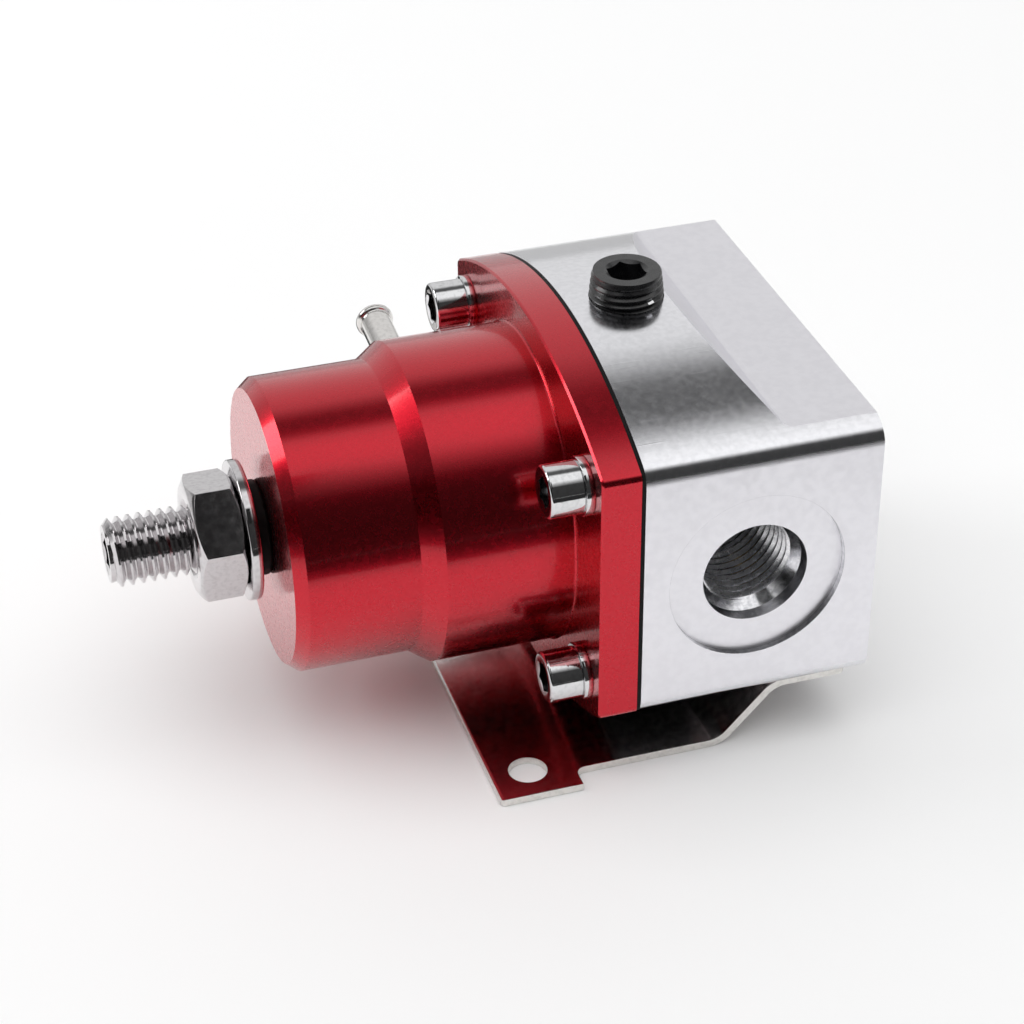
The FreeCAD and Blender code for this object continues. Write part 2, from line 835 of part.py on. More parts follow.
def make_bonnet_fasteners():
    corners = [(-1, 1), (-1, -1), (1, 1), (1, -1)]
    for number, (across, up) in enumerate(corners, start=1):
        make_cap_screw(number, across, up)
        make_lock_washer(number, across, up)


def make_gauge_port_plug():
    """The black pipe plug in the gauge port on the crown."""
    top = CROWN_TOP + " + plug_stickout"
    body = turned_piece(
        "gauge_port_plug",
        [
            ("0", top + " - plug_length"),
            ("plug_radius - plug_taper", top + " - plug_length"),
            ("plug_radius", CROWN_TOP + " - plug_stickout / 4"),
            ("plug_radius", CROWN_TOP + " + plug_stickout / 3"),
            ("plug_radius - plug_taper / 2", top + " - 2 * plug_bevel"),
            ("plug_radius - plug_taper / 2 - plug_bevel", top),
            ("0", top),
        ],
        "XZ_Plane",
        "V_Axis",
    )
    socket = new_sketch(body, "XY_Plane", "plug_socket", {"z": top})
    hexagon(socket, "plug_socket_flats", "30")
    pocket(body, socket, "plug_socket_depth")
    mouth = new_sketch(body, "XZ_Plane", "plug_socket_cone")
    polygon(
        mouth,
        [
            ("0", top + " - plug_mouth_depth"),
            ("plug_mouth_radius", top),
            ("plug_mouth_radius", top + " + 1"),
            ("0", top + " + 1"),
        ],
    )
    revolve(body, mouth, "V_Axis", "PartDesign::Groove")
    place(body, "gauge_setback")
    keep(body, "gauge_port_plug")


def make_vacuum_nipple():
    """The hose barb for the vacuum line, screwed into the side of the bonnet."""
    seat = "neck_radius - nipple_seat_depth"
    collar = seat + " + nipple_collar_length"
    body = turned_piece(
        "vacuum_nipple",
        [
            ("nipple_bore_radius", "nipple_foot"),
            ("nipple_root_radius", "nipple_foot"),
            ("nipple_root_radius", seat),
            ("nipple_collar_radius", seat),
            ("nipple_collar_radius", collar),
            ("nipple_stem_radius", collar),
            ("nipple_stem_radius", "nipple_tip - nipple_lip_length"),
            ("nipple_lip_radius", "nipple_tip - nipple_lip_length / 2"),
            ("nipple_mouth_radius", "nipple_tip"),
            ("nipple_bore_radius", "nipple_tip"),
        ],
        "XY_Plane",
        "V_Axis",
    )
    body.Placement = FreeCAD.Placement(V(0, 0, 0), FreeCAD.Rotation(V(1, 0, 0), 1))
    bind(body, "Placement.Rotation.Angle", "nipple_angle")
    place(body, "-nipple_setback")
    keep(body, "vacuum_nipple")


def make_mounting_bracket():
    """The bent sheet: a foot with two eared holes, a slope, and a plate under the block."""
    body = new_body("bracket_body")
    section = new_sketch(body, "XZ_Plane", "bracket_section")
    front = "-(bracket_hole_setback + ear_front_margin)"
    rear = "block_length - plate_rear_margin"
    foot = "-" + FOOT_DROP
    plate = "-flat_height / 2"
    shift = "sheet_thickness * tan(atan(" + BRACKET_RISE + " / " + SLOPE_RUN + ") / 2)"
    polygon(
        section,
        [
            (front, foot),
            (SLOPE_START, foot),
            (FLAT_START, plate),
            (rear, plate),
            (rear, plate + " - sheet_thickness"),
            (FLAT_START + " + " + shift, plate + " - sheet_thickness"),
            (SLOPE_START + " + " + shift, foot + " - sheet_thickness"),
            (front, foot + " - sheet_thickness"),
        ],
    )
    pad(body, section, "strip_width + 2 * ear_overhang", midplane=True)

    def bend_line(edge, level):
        """A bend's line across the sheet at one of the section's levels."""
        spot = middle(edge)
        inside = 0 < spot.x < SIZES["block_length"] - 2 * SIZES["plate_rear_margin"]
        return along(edge, "y") and inside and abs(spot.z - level) < 0.01

    foot_level = -(SIZES["crown_height"] / 2 + SIZES["foot_clearance"])
    plate_level = -SIZES["flat_height"] / 2
    thickness = SIZES["sheet_thickness"]
    for name, level, radius in (
        ("foot_inner_bend", foot_level, "bend_radius"),
        ("plate_inner_bend", plate_level - thickness, "bend_radius"),
        ("foot_outer_bend", foot_level - thickness, "bend_radius + sheet_thickness"),
        ("plate_outer_bend", plate_level, "bend_radius + sheet_thickness"),
    ):
        fillet(body, lambda edge, level=level: bend_line(edge, level), radius, name)

    trim = new_sketch(body, "XY_Plane", "bracket_trim")
    ear_back = "-(bracket_hole_setback - ear_back_margin)"
    for side in (-1, 1):
        polygon(
            trim,
            [
                (ear_back, "%d * strip_width / 2" % side),
                (rear + " + 1", "%d * strip_width / 2" % side),
                (rear + " + 1", "%d * (strip_width / 2 + ear_overhang + 1)" % side),
                (ear_back, "%d * (strip_width / 2 + ear_overhang + 1)" % side),
            ],
        )
        circle(
            trim,
            "-bracket_hole_setback",
            "%d * bracket_hole_spacing / 2" % side,
            "bracket_hole_radius",
            (-15.0, 28.0 * side),
        )
        circle(
            trim,
            "block_length - bracket_screw_setback",
            "%d * bracket_screw_spread / 2" % side,
            "bracket_screw_hole_radius",
            (27.0, 15.0 * side),
        )
    pocket(body, trim)

    def corner_at(x_place, y_place):
        def wanted(edge):
            spot = middle(edge)
            near_x = abs(spot.x - x_place) < 0.01
            near_y = abs(abs(spot.y) - y_place) < 0.01
            return along(edge, "z") and near_x and near_y

        return wanted

    ear_front = -(SIZES["bracket_hole_setback"] + SIZES["ear_front_margin"])
    ear_rear = -(SIZES["bracket_hole_setback"] - SIZES["ear_back_margin"])
    plate_end = SIZES["block_length"] - SIZES["plate_rear_margin"]
    half_strip = SIZES["strip_width"] / 2
    half_width = half_strip + SIZES["ear_overhang"]
    fillet(body, corner_at(ear_front, half_width), "ear_corner_radius", "ear_corners")
    fillet(body, corner_at(ear_rear, half_strip), "ear_corner_radius / 2", "ear_notches")
    fillet(body, corner_at(plate_end, half_strip), "plate_corner_radius", "plate_corners")
    place(body)
    keep(body, "mounting_bracket")


def make_bracket_screw(number, side):
    """One pan head screw that holds the bracket's plate to the block, driven from below."""
    name = "bracket_screw_%d" % number
    body = turned_piece(
        name,
        [
            ("0", "-bracket_screw_head_height"),
            ("bracket_screw_crown_radius", "-bracket_screw_head_height"),
            ("bracket_screw_head_radius", "-bracket_screw_head_height / 2"),
            ("bracket_screw_head_radius", "0"),
            ("bracket_screw_radius", "0"),
            ("bracket_screw_radius", "sheet_thickness + bracket_screw_reach"),
            ("0", "sheet_thickness + bracket_screw_reach"),
        ],
        "XZ_Plane",
        "V_Axis",
    )
    place(
        body,
        "block_length - bracket_screw_setback",
        "%d * bracket_screw_spread / 2" % side,
        "-flat_height / 2 - sheet_thickness",
    )
    keep(body, name)


make_regulator_body()
make_bonnet()
make_diaphragm()
make_adjusting_screw()
make_adjuster_rings()
make_hex_nut(
    "lock_nut",
    "nut_flats",
    "nut_thickness",
    "screw_radius + screw_gap",
    NUT_BACK,
    SIZES["nut_angle"],
)
make_spring_cap()
make_spring()
make_valve_group()
make_valve_seat()
make_bonnet_fasteners()
make_gauge_port_plug()
make_vacuum_nipple()
make_mounting_bracket()
make_bracket_screw(1, -1)
make_bracket_screw(2, 1)
doc.recompute()

broken = [thing.Label for thing in doc.Objects if {"Invalid", "Error"} & set(thing.State)]
if broken:
    raise SystemExit("These objects failed to build: " + ", ".join(broken))
for name, thing in nodes.items():
    if thing.Shape.isNull() or not thing.Shape.isValid():
        raise SystemExit("The shape of " + name + " is not valid")

os.makedirs("parts", exist_ok=True)
for name, thing in nodes.items():
    thing.Shape.exportStep("parts/" + name + ".step")
    print(name, len(thing.Shape.Solids), round(thing.Shape.Volume, 1))
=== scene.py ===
import math

import bmesh
import bpy
from mathutils import Matrix, Vector


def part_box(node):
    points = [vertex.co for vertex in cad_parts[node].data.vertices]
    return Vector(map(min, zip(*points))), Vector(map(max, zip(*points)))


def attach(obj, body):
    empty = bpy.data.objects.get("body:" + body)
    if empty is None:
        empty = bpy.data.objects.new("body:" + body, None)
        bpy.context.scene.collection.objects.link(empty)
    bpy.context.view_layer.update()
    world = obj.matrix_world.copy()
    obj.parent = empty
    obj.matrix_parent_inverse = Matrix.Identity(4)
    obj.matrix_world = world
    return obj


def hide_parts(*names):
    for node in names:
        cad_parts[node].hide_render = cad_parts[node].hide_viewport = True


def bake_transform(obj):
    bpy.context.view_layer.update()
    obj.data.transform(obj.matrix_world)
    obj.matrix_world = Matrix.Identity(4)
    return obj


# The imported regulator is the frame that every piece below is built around.
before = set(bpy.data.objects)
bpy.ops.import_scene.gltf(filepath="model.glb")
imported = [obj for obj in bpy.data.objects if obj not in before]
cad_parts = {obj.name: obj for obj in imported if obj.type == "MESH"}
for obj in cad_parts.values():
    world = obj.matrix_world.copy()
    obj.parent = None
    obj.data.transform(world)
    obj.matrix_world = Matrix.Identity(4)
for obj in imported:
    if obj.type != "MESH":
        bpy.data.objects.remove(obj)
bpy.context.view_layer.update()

# Pieces are drawn in millimetres about the regulator's axis, which runs along X, with x = 0 on
# the block's diaphragm face, and are then settled into the frame in metres.
MM = 0.001
block_low, block_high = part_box("regulator_body")
bonnet_low, bonnet_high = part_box("bonnet")
screw_low, screw_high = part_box("adjusting_screw")
nut_low, nut_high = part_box("lock_nut")
washer_low, washer_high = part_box("nut_washer")
seal_low, seal_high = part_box("screw_seal")
plug_low, plug_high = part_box("gauge_port_plug")
head_low, head_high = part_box("cap_screw_3")
nipple_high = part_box("vacuum_nipple")[1]
bracket_low, bracket_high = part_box("mounting_bracket")
AXIS_HEIGHT = (block_low.z + block_high.z) / 2
FACE = block_low.x


def along_axis(place):
    """A place on the frame's X axis, in millimetres from the block's diaphragm face."""
    return (place - FACE) / MM


# Block
BLOCK_LENGTH = along_axis(block_high.x)
HALF_WIDTH = block_high.y / MM
CROWN_TOP = (block_high.z - AXIS_HEIGHT) / MM
CROWN_RADIUS = 68.5
CORNER_RADIUS = 3.2
FLAT_LEVEL = 20.9
FLAT_START = BLOCK_LENGTH - 13.0
STEP_RUN = 6.8
PORT_PLACE = 16.5
SPOTFACE_RADIUS = 12.8
SPOTFACE_DEPTH = 0.9
MOUTH_RADIUS = 7.6
MOUTH_DEPTH = 2.0
MOUTH_CONE = 1.6
PORT_MINOR = 6.45
PORT_MAJOR = 7.12
PORT_PITCH = 25.4 / 18
PORT_DEPTH = 17.0
PORT_PASSAGE = 4.5
# The rim of painted shade round each spotface and port mouth: how far it reaches from the edge, and
# how small its faces are.
RIM_SHADE_WIDTH = 0.24
RIM_SHADE_FACE_AREA = 0.3
RETURN_DEPTH = 8.0
GALLERY_RADIUS = 8.0
CHAMBER_RADIUS = 17.0
CHAMBER_DEPTH = 2.2
GALLERY_STOP = 3.5
GAUGE_PLACE = along_axis((plug_low.x + plug_high.x) / 2)
GAUGE_FLOOR = 3.0
BOLT_Y = (head_low.y + head_high.y) / 2 / MM
BOLT_Z = ((head_low.z + head_high.z) / 2 - AXIS_HEIGHT) / MM
BOLT_PLACES = [(side * BOLT_Y, up * BOLT_Z) for side in (-1, 1) for up in (-1, 1)]
BOLT_TAP = 2.45
BOLT_TAP_DEPTH = 14.0

# Bonnet
DIAPHRAGM_THICKNESS = -along_axis(bonnet_high.x)
FLANGE_FRONT = -(DIAPHRAGM_THICKNESS + 5.55)
FLANGE_CORNER = 1.2
NECK_RADIUS = 23.1
NECK_FRONT = FLANGE_FRONT - 18.3
NECK_FILLET = 0.35
CONE_LENGTH = 3.0
BARREL_RADIUS = 21.0
BONNET_END = along_axis(bonnet_low.x)
END_BEVEL_LENGTH = 1.7
END_BEVEL_WIDTH = 1.35
SPRING_BORE = 16.0
END_WALL = 5.0
GUIDE_RADIUS = 8.5
GUIDE_LENGTH = 3.0
BOLT_HOLE = 2.6

# Adjuster
SCREW_END = along_axis(screw_low.x)
SCREW_INNER = along_axis(screw_high.x)
SCREW_MAJOR = 4.92
SCREW_MINOR = 4.05
SCREW_PITCH = 1.5
SCREW_HOLE = 5.0
SCREW_SOCKET = 5.0
NUT_FLATS = 16.0
NUT_LAND_SHARE = 0.95
NUT_MOUTH = 5.7
NUT_TURN = math.radians(46.7)
WASHER_BORE = 5.25
WASHER_RADIUS = 10.0
SEAL_RADIUS = 6.8

# Small parts
HEAD_RADIUS = 3.7
HEAD_HEIGHT = 4.8
HEAD_SOCKET = 4.0
BOLT_RADIUS = 2.4
BOLT_REACH = 19.3
LOCK_RADIUS = 4.1
LOCK_THICKNESS = 1.2
LOCK_GAP = math.radians(9)
PLUG_RADIUS = 5.25
PLUG_PITCH = 25.4 / 27
PLUG_SOCKET = 5.0
PLUG_CREST_LOSS = 0.36
PLUG_TAPER = 0.11
PLUG_TOP_EDGE = 0.15
NICK_RADIUS = 0.5
NIPPLE_PLACE = -16.5
NIPPLE_TILT = math.radians(6.0)
NIPPLE_FOOT = 16.5
NIPPLE_BORE = 1.5
NIPPLE_STEM = 2.4
NIPPLE_SHANK = 2.45
NIPPLE_COLLAR = 3.4
NIPPLE_BEAD = 2.92
NIPPLE_HOLE = 2.55
NIPPLE_SEAT = 3.6
NIPPLE_SEAT_FLOOR = 22.8
NIPPLE_CUT_END = 26.0

# Bracket
SHEET = 1.2
FOOT_LEVEL = -AXIS_HEIGHT / MM + SHEET
SLOPE_START = FLAT_START - 8.0
BEND_RADIUS = 3.0
HOLE_PLACE = -FACE / MM
HOLE_SPREAD = 28.4
HOLE_RADIUS = 2.75
EAR_BACK = HOLE_PLACE + 6.5
STRIP_HALF = 30.2
NOTCH_CORNER = 1.3
EAR_CORNER = 2.6
REAR_CORNER = 2.2
BRACKET_SCREW_PLACE = BLOCK_LENGTH - 7.0
BRACKET_SCREW_SPREAD = 15.0
BRACKET_SCREW_RADIUS = 2.45
BRACKET_SCREW_REACH = 8.2
BRACKET_TAP = 2.5
BRACKET_TAP_DEPTH = 8.0
PAN_RADIUS = 4.6
PAN_HEIGHT = 2.8

# PAST is how far a cutter starts outside the face that it cuts, and HAIR is a gap too small to see.
TURN_STEPS = 128
PAST = 1.0
HAIR = 0.01

# One turn of thread: shares of the pitch, and whether the thread is at its crest there.
THREAD_FORM = ((0.04, False), (0.14, False), (0.50, True), (0.68, True))


# Shapes

def settle(bm):
    """Move a piece from millimetres about the regulator's axis into the frame."""
    place = Matrix.Translation((FACE, 0, AXIS_HEIGHT)) @ Matrix.Scale(MM, 4)
    bmesh.ops.transform(bm, matrix=place, verts=bm.verts)


def turned(profile, steps=TURN_STEPS, closed=False):
    """A piece turned about X from (place, radius) points."""
    bm = bmesh.new()
    ring = [bm.verts.new((place, 0, radius)) for place, radius in profile]
    edges = [bm.edges.new(pair) for pair in zip(ring, ring[1:])]
    if closed:
        edges.append(bm.edges.new((ring[-1], ring[0])))
    bmesh.ops.spin(
        bm, geom=ring + edges, cent=(0, 0, 0), axis=(1, 0, 0), angle=math.tau, steps=steps,
        use_merge=True,
    )
    bmesh.ops.remove_doubles(bm, verts=bm.verts, dist=HAIR / 10)
    bmesh.ops.recalc_face_normals(bm, faces=bm.faces)
    return bm


def prism(outline, start, end, axis="X"):
    """A closed outline pushed along an axis: (y, z) along X, (x, z) along Y or (x, y) along Z."""
    spots = {
        "X": lambda a, b: (start, a, b),
        "Y": lambda a, b: (a, start, b),
        "Z": lambda a, b: (a, b, start),
    }[axis]
    bm = bmesh.new()
    face = bm.faces.new([bm.verts.new(spots(a, b)) for a, b in outline])
    pushed = bmesh.ops.extrude_face_region(bm, geom=[face])["geom"]
    moved = [part for part in pushed if isinstance(part, bmesh.types.BMVert)]
    push = {"X": (end - start, 0, 0), "Y": (0, end - start, 0), "Z": (0, 0, end - start)}[axis]
    bmesh.ops.translate(bm, verts=moved, vec=push)
    bmesh.ops.recalc_face_normals(bm, faces=bm.faces)
    return bm


def bar(radius, start, end, sides=64, turn=0.0):
    """A round or many-sided bar along X."""
    bm = bmesh.new()
    bmesh.ops.create_cone(
        bm, cap_ends=True, segments=sides, radius1=radius, radius2=radius, depth=end - start,
        matrix=Matrix.Rotation(turn, 4, "X") @ Matrix.Rotation(math.pi / 2, 4, "Y"),
    )
    bmesh.ops.translate(bm, verts=bm.verts, vec=((start + end) / 2, 0, 0))
    return bm


def hexagon_bar(flats, start, end, turn=0.0):
    return bar(flats / math.sqrt(3), start, end, 6, turn)


def threaded(start, end, minor, major, pitch, bevels=(0.0, 0.0), steps=48):
    """A rod with a right-hand thread along X, cut square and bevelled at its ends."""
    bm = bmesh.new()
    turns = math.ceil((end - start) / pitch) + 3
    chain = [
        bm.verts.new((start + (turn - 2 + share) * pitch, 0, major if crest else minor))
        for turn in range(turns)
        for share, crest in THREAD_FORM
    ]
    edges = [bm.edges.new(pair) for pair in zip(chain, chain[1:])]
    bmesh.ops.spin(
        bm, geom=chain + edges, cent=(0, 0, 0), axis=(1, 0, 0), angle=math.tau, steps=steps,
        dvec=(pitch / steps, 0, 0),
    )
    bmesh.ops.remove_doubles(bm, verts=bm.verts, dist=HAIR / 2)
    for place, way, bevel in ((start, -1, bevels[0]), (end, 1, bevels[1])):
        bmesh.ops.bisect_plane(
            bm, geom=bm.verts[:] + bm.edges[:] + bm.faces[:], plane_co=(place, 0, 0),
            plane_no=(way, 0, 0), clear_outer=True,
        )
        for vert in bm.verts:
            reach = math.hypot(vert.co.y, vert.co.z)
            room = major - bevel + abs(vert.co.x - place)
            if reach > room:
                vert.co.y *= room / reach
                vert.co.z *= room / reach
        rim = [
            edge for edge in bm.edges
            if edge.is_boundary and abs(sum(vert.co.x for vert in edge.verts) / 2 - place) < HAIR
        ]
        bmesh.ops.holes_fill(bm, edges=rim, sides=0)
    bmesh.ops.recalc_face_normals(bm, faces=bm.faces)
    return bm


def as_object(bm, name):
    mesh = bpy.data.meshes.new(name)
    bm.to_mesh(mesh)
    bm.free()
    thing = bpy.data.objects.new(name, mesh)
    bpy.context.scene.collection.objects.link(thing)
    return thing


def carve(bm, *cutters, way="DIFFERENCE"):
    """Cut, join or intersect solids and give back the result."""
    solid = as_object(bm, "solid")
    tools = [as_object(cutter, "cutter") for cutter in cutters]
    for tool in tools:
        cut = solid.modifiers.new("cut", "BOOLEAN")
        cut.operation = way
        cut.solver = "EXACT"
        cut.object = tool
    graph = bpy.context.evaluated_depsgraph_get()
    mesh = bpy.data.meshes.new_from_object(solid.evaluated_get(graph))
    result = bmesh.new()
    result.from_mesh(mesh)
    for used in [mesh] + [thing.data for thing in [solid] + tools]:
        bpy.data.meshes.remove(used)
    bmesh.ops.remove_doubles(result, verts=result.verts, dist=HAIR / 10)
    bmesh.ops.dissolve_degenerate(result, edges=result.edges, dist=HAIR / 10)
    return result


def soften(bm, width, steps=2, wanted=None, sharp=30):
    """Round the sharp edges, or those that wanted(edge) picks."""
    edges = [
        edge for edge in bm.edges
        if edge.is_manifold
        and edge.calc_face_angle(0) > math.radians(sharp)
        and (wanted is None or wanted(edge))
    ]
    bmesh.ops.bevel(
        bm, geom=edges, offset=width, segments=steps, profile=0.5, affect="EDGES", material=-1,
        clamp_overlap=True,
    )
    return bm


def ends(test):
    """A picker of the edges that pass the test at both ends."""
    return lambda edge: all(test(vert.co) for vert in edge.verts)


def turn_to(bm, axis):
    """Turn a piece drawn along X to lie along Y or Z."""
    spin = {"Y": Matrix.Rotation(math.pi / 2, 4, "Z"), "Z": Matrix.Rotation(-math.pi / 2, 4, "Y")}
    bmesh.ops.transform(bm, matrix=spin[axis], verts=bm.verts)
    return bm


def shift(bm, x=0.0, y=0.0, z=0.0):
    bmesh.ops.translate(bm, verts=bm.verts, vec=(x, y, z))
    return bm


def on_nipple_line(bm):
    """Turn a piece drawn along X to lie along the hose barb's tilted line."""
    turn_to(bm, "Y")
    bmesh.ops.rotate(bm, verts=bm.verts, matrix=Matrix.Rotation(NIPPLE_TILT, 3, "X"))
    return shift(bm, x=NIPPLE_PLACE)


def paint(bm, index, wanted=lambda face: True):
    """Give the faces that wanted(face) picks another of the piece's finishes."""
    for face in bm.faces:
        if wanted(face):
            face.material_index = index
    return bm


def show(name, bm, node, body, finishes, crease=40):
    """Make a finished piece that stands for a node and rides on its body."""
    settle(bm)
    for face in bm.faces:
        face.smooth = True
    piece = as_object(bm, name)
    piece.data.set_sharp_from_angle(angle=math.radians(crease))
    for finish in finishes:
        piece.data.materials.append(finish)
    smooth = piece.modifiers.new("even_shading", "WEIGHTED_NORMAL")
    smooth.keep_sharp = True
    smooth.weight = 80
    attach(piece, body)
    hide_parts(node)
    return piece


# Finishes

def socket(group, name, way, kind="NodeSocketFloat", value=None):
    made = group.interface.new_socket(name=name, in_out=way, socket_type=kind)
    if value is not None:
        made.default_value = value


def math_node(tree, operation, first, second=None):
    node = tree.nodes.new("ShaderNodeMath")
    node.operation = operation
    for place, source in enumerate((first, second)):
        if source is None:
            continue
        if isinstance(source, (int, float)):
            node.inputs[place].default_value = source
        else:
            tree.links.new(source, node.inputs[place])
    return node.outputs[0]


def noise_node(tree, scale, detail, vector=None, along=None):
    node = tree.nodes.new("ShaderNodeTexNoise")
    node.inputs["Scale"].default_value = scale
    node.inputs["Detail"].default_value = detail
    if along is not None:
        node.noise_dimensions = "1D"
        tree.links.new(along, node.inputs["W"])
    if vector is not None:
        tree.links.new(vector, node.inputs["Vector"])
    return node.outputs[0]


def range_node(tree, source, low, high, to_low, to_high):
    node = tree.nodes.new("ShaderNodeMapRange")
    tree.links.new(source, node.inputs["Value"])
    for name, value in (
        ("From Min", low), ("From Max", high), ("To Min", to_low), ("To Max", to_high)
    ):
        if isinstance(value, (int, float)):
            node.inputs[name].default_value = value
        else:
            tree.links.new(value, node.inputs[name])
    return node.outputs[0]


def new_group(name):
    group = bpy.data.node_groups.new(name, "ShaderNodeTree")
    socket(group, "Vector", "INPUT", "NodeSocketVector")
    return group


def make_turning_marks():
    """Fine rings left by the lathe, about the regulator's axis."""
    group = new_group("turning_marks")
    socket(group, "Fineness", "INPUT", value=9000.0)
    socket(group, "Height", "OUTPUT")
    start = group.nodes.new("NodeGroupInput")
    end = group.nodes.new("NodeGroupOutput")
    split = group.nodes.new("ShaderNodeSeparateXYZ")
    group.links.new(start.outputs["Vector"], split.inputs[0])
    height = math_node(group, "SUBTRACT", split.outputs[2], AXIS_HEIGHT)
    across = math_node(group, "MULTIPLY", split.outputs[1], split.outputs[1])
    up = math_node(group, "MULTIPLY", height, height)
    reach = math_node(group, "SQRT", math_node(group, "ADD", across, up))
    travel = math_node(group, "ADD", split.outputs[0], reach)
    scaled = math_node(group, "MULTIPLY", travel, start.outputs["Fineness"])
    group.links.new(noise_node(group, 1.0, 3.0, along=scaled), end.inputs["Height"])
    return group


def make_fine_grain():
    """A fine even grain with a few larger smudges."""
    group = new_group("fine_grain")
    socket(group, "Grain Scale", "INPUT", value=4000.0)
    socket(group, "Low", "INPUT", value=0.2)
    socket(group, "High", "INPUT", value=0.3)
    socket(group, "Roughness", "OUTPUT")
    socket(group, "Height", "OUTPUT")
    start = group.nodes.new("NodeGroupInput")
    end = group.nodes.new("NodeGroupOutput")
    grain = group.nodes.new("ShaderNodeTexNoise")
    group.links.new(start.outputs["Vector"], grain.inputs["Vector"])
    group.links.new(start.outputs["Grain Scale"], grain.inputs["Scale"])
    grain.inputs["Detail"].default_value = 2.0
    smudge = noise_node(group, 900.0, 4.0, vector=start.outputs["Vector"])
    level = range_node(group, smudge, 0.35, 0.7, start.outputs["Low"], start.outputs["High"])
    group.links.new(level, end.inputs["Roughness"])
    group.links.new(grain.outputs[0], end.inputs["Height"])
    return group


def make_scratches():
    """Sparse hair scratches, long along one direction."""
    group = new_group("scratches")
    socket(group, "Stretch", "INPUT", "NodeSocketVector", value=(60.0, 900.0, 900.0))
    socket(group, "Amount", "INPUT", value=0.68)
    socket(group, "Mask", "OUTPUT")
    start = group.nodes.new("NodeGroupInput")
    end = group.nodes.new("NodeGroupOutput")
    scale = group.nodes.new("ShaderNodeVectorMath")
    scale.operation = "MULTIPLY"
    group.links.new(start.outputs["Vector"], scale.inputs[0])
    group.links.new(start.outputs["Stretch"], scale.inputs[1])
    lines = noise_node(group, 1.0, 2.0, vector=scale.outputs[0])
    mask = range_node(group, lines, start.outputs["Amount"], 0.8, 0.0, 1.0)
    group.links.new(mask, end.inputs["Mask"])
    return group


TURNING_MARKS = make_turning_marks()
FINE_GRAIN = make_fine_grain()
SCRATCHES = make_scratches()


class Finish:
    """A material with its shader, object coordinates and a stack of bumps."""

    def __init__(self, name, **values):
        self.material = bpy.data.materials.new(name)
        self.material.use_nodes = True
        self.tree = self.material.node_tree
        self.shader = self.tree.nodes["Principled BSDF"]
        self.coordinates = self.tree.nodes.new("ShaderNodeTexCoord").outputs["Object"]
        self.normal = None
        for key, value in values.items():
            self.shader.inputs[key.replace("_", " ")].default_value = value

    def group(self, tree, **values):
        node = self.tree.nodes.new("ShaderNodeGroup")
        node.node_tree = tree
        self.tree.links.new(self.coordinates, node.inputs["Vector"])
        for key, value in values.items():
            node.inputs[key.replace("_", " ")].default_value = value
        return node

    def bump(self, height, distance, strength=1.0):
        node = self.tree.nodes.new("ShaderNodeBump")
        node.inputs["Distance"].default_value = distance
        node.inputs["Strength"].default_value = strength
        self.tree.links.new(height, node.inputs["Height"])
        if self.normal is not None:
            self.tree.links.new(self.normal, node.inputs["Normal"])
        self.normal = node.outputs[0]
        self.tree.links.new(self.normal, self.shader.inputs["Normal"])

    def grain(self, scale, low, high, height=None, strength=1.0):
        """Vary the roughness by the fine grain, and raise the grain where height is given."""
        node = self.group(FINE_GRAIN, Grain_Scale=scale, Low=low, High=high)
        self.tree.links.new(node.outputs["Roughness"], self.shader.inputs["Roughness"])
        if height is not None:
            self.bump(node.outputs["Height"], height, strength)

    def mottle(self, first, second, scale, low=0.4, high=0.6, detail=3.0):
        """Blend the base colour between two tones by a noise."""
        ramp = self.tree.nodes.new("ShaderNodeMix")
        ramp.data_type = "RGBA"
        ramp.inputs[6].default_value = (*first, 1)
        ramp.inputs[7].default_value = (*second, 1)
        noise = noise_node(self.tree, scale, detail, vector=self.coordinates)
        self.tree.links.new(range_node(self.tree, noise, low, high, 0.0, 1.0), ramp.inputs[0])
        self.tree.links.new(ramp.outputs[2], self.shader.inputs["Base Color"])


def make_red_anodised():
    finish = Finish(
        "red_anodised", Metallic=1.0, Coat_Weight=0.7, Coat_Roughness=0.1, Coat_IOR=1.45,
    )
    finish.mottle((0.59, 0.012, 0.027), (0.56, 0.010, 0.024), 2600.0)
    finish.grain(6000.0, 0.25, 0.29)
    marks = finish.group(TURNING_MARKS, Fineness=7000.0)
    finish.bump(marks.outputs["Height"], 0.00001, 0.03)
    return finish.material


def make_polished_aluminium():
    finish = Finish("polished_aluminium", Metallic=1.0)
    finish.mottle((0.89, 0.89, 0.92), (0.84, 0.84, 0.87), 1200.0)
    finish.grain(5000.0, 0.14, 0.20, 0.00001, 0.15)
    lines = finish.group(SCRATCHES, Stretch=(90.0, 2200.0, 2200.0), Amount=0.66)
    finish.bump(lines.outputs["Mask"], 0.00001, 0.3)
    return finish.material


def make_painted_rim_shade():
    """A darker finish for the narrow rim round a port: painted shade on the bevels of the spotface
    and mouth edges.
    """
    finish = Finish("port_rim_painted_shade", Metallic=1.0, Roughness=0.35)
    finish.mottle((0.26, 0.26, 0.28), (0.12, 0.12, 0.13), 1500.0)
    return finish.material


def make_satin_aluminium():
    finish = Finish("satin_aluminium", Metallic=1.0)
    finish.mottle((0.90, 0.89, 0.93), (0.88, 0.87, 0.91), 900.0)
    finish.grain(7000.0, 0.34, 0.42, 0.00001, 0.3)
    return finish.material


def make_port_aluminium(name, base, dull, low, high):
    finish = Finish(name, Metallic=1.0)
    finish.mottle(base, dull, 1500.0)
    finish.grain(5000.0, low, high, 0.00001, 0.08)
    return finish.material


def make_bright_plate(name, base, dull, low=0.08, high=0.14):
    finish = Finish(name, Metallic=1.0)
    finish.mottle(base, dull, 1500.0, low=0.45, high=0.75)
    finish.grain(3500.0, low, high, 0.00001, 0.25)
    lines = finish.group(SCRATCHES, Stretch=(1500.0, 260.0, 700.0), Amount=0.7)
    finish.bump(lines.outputs["Mask"], 0.00002, 0.3)
    return finish.material


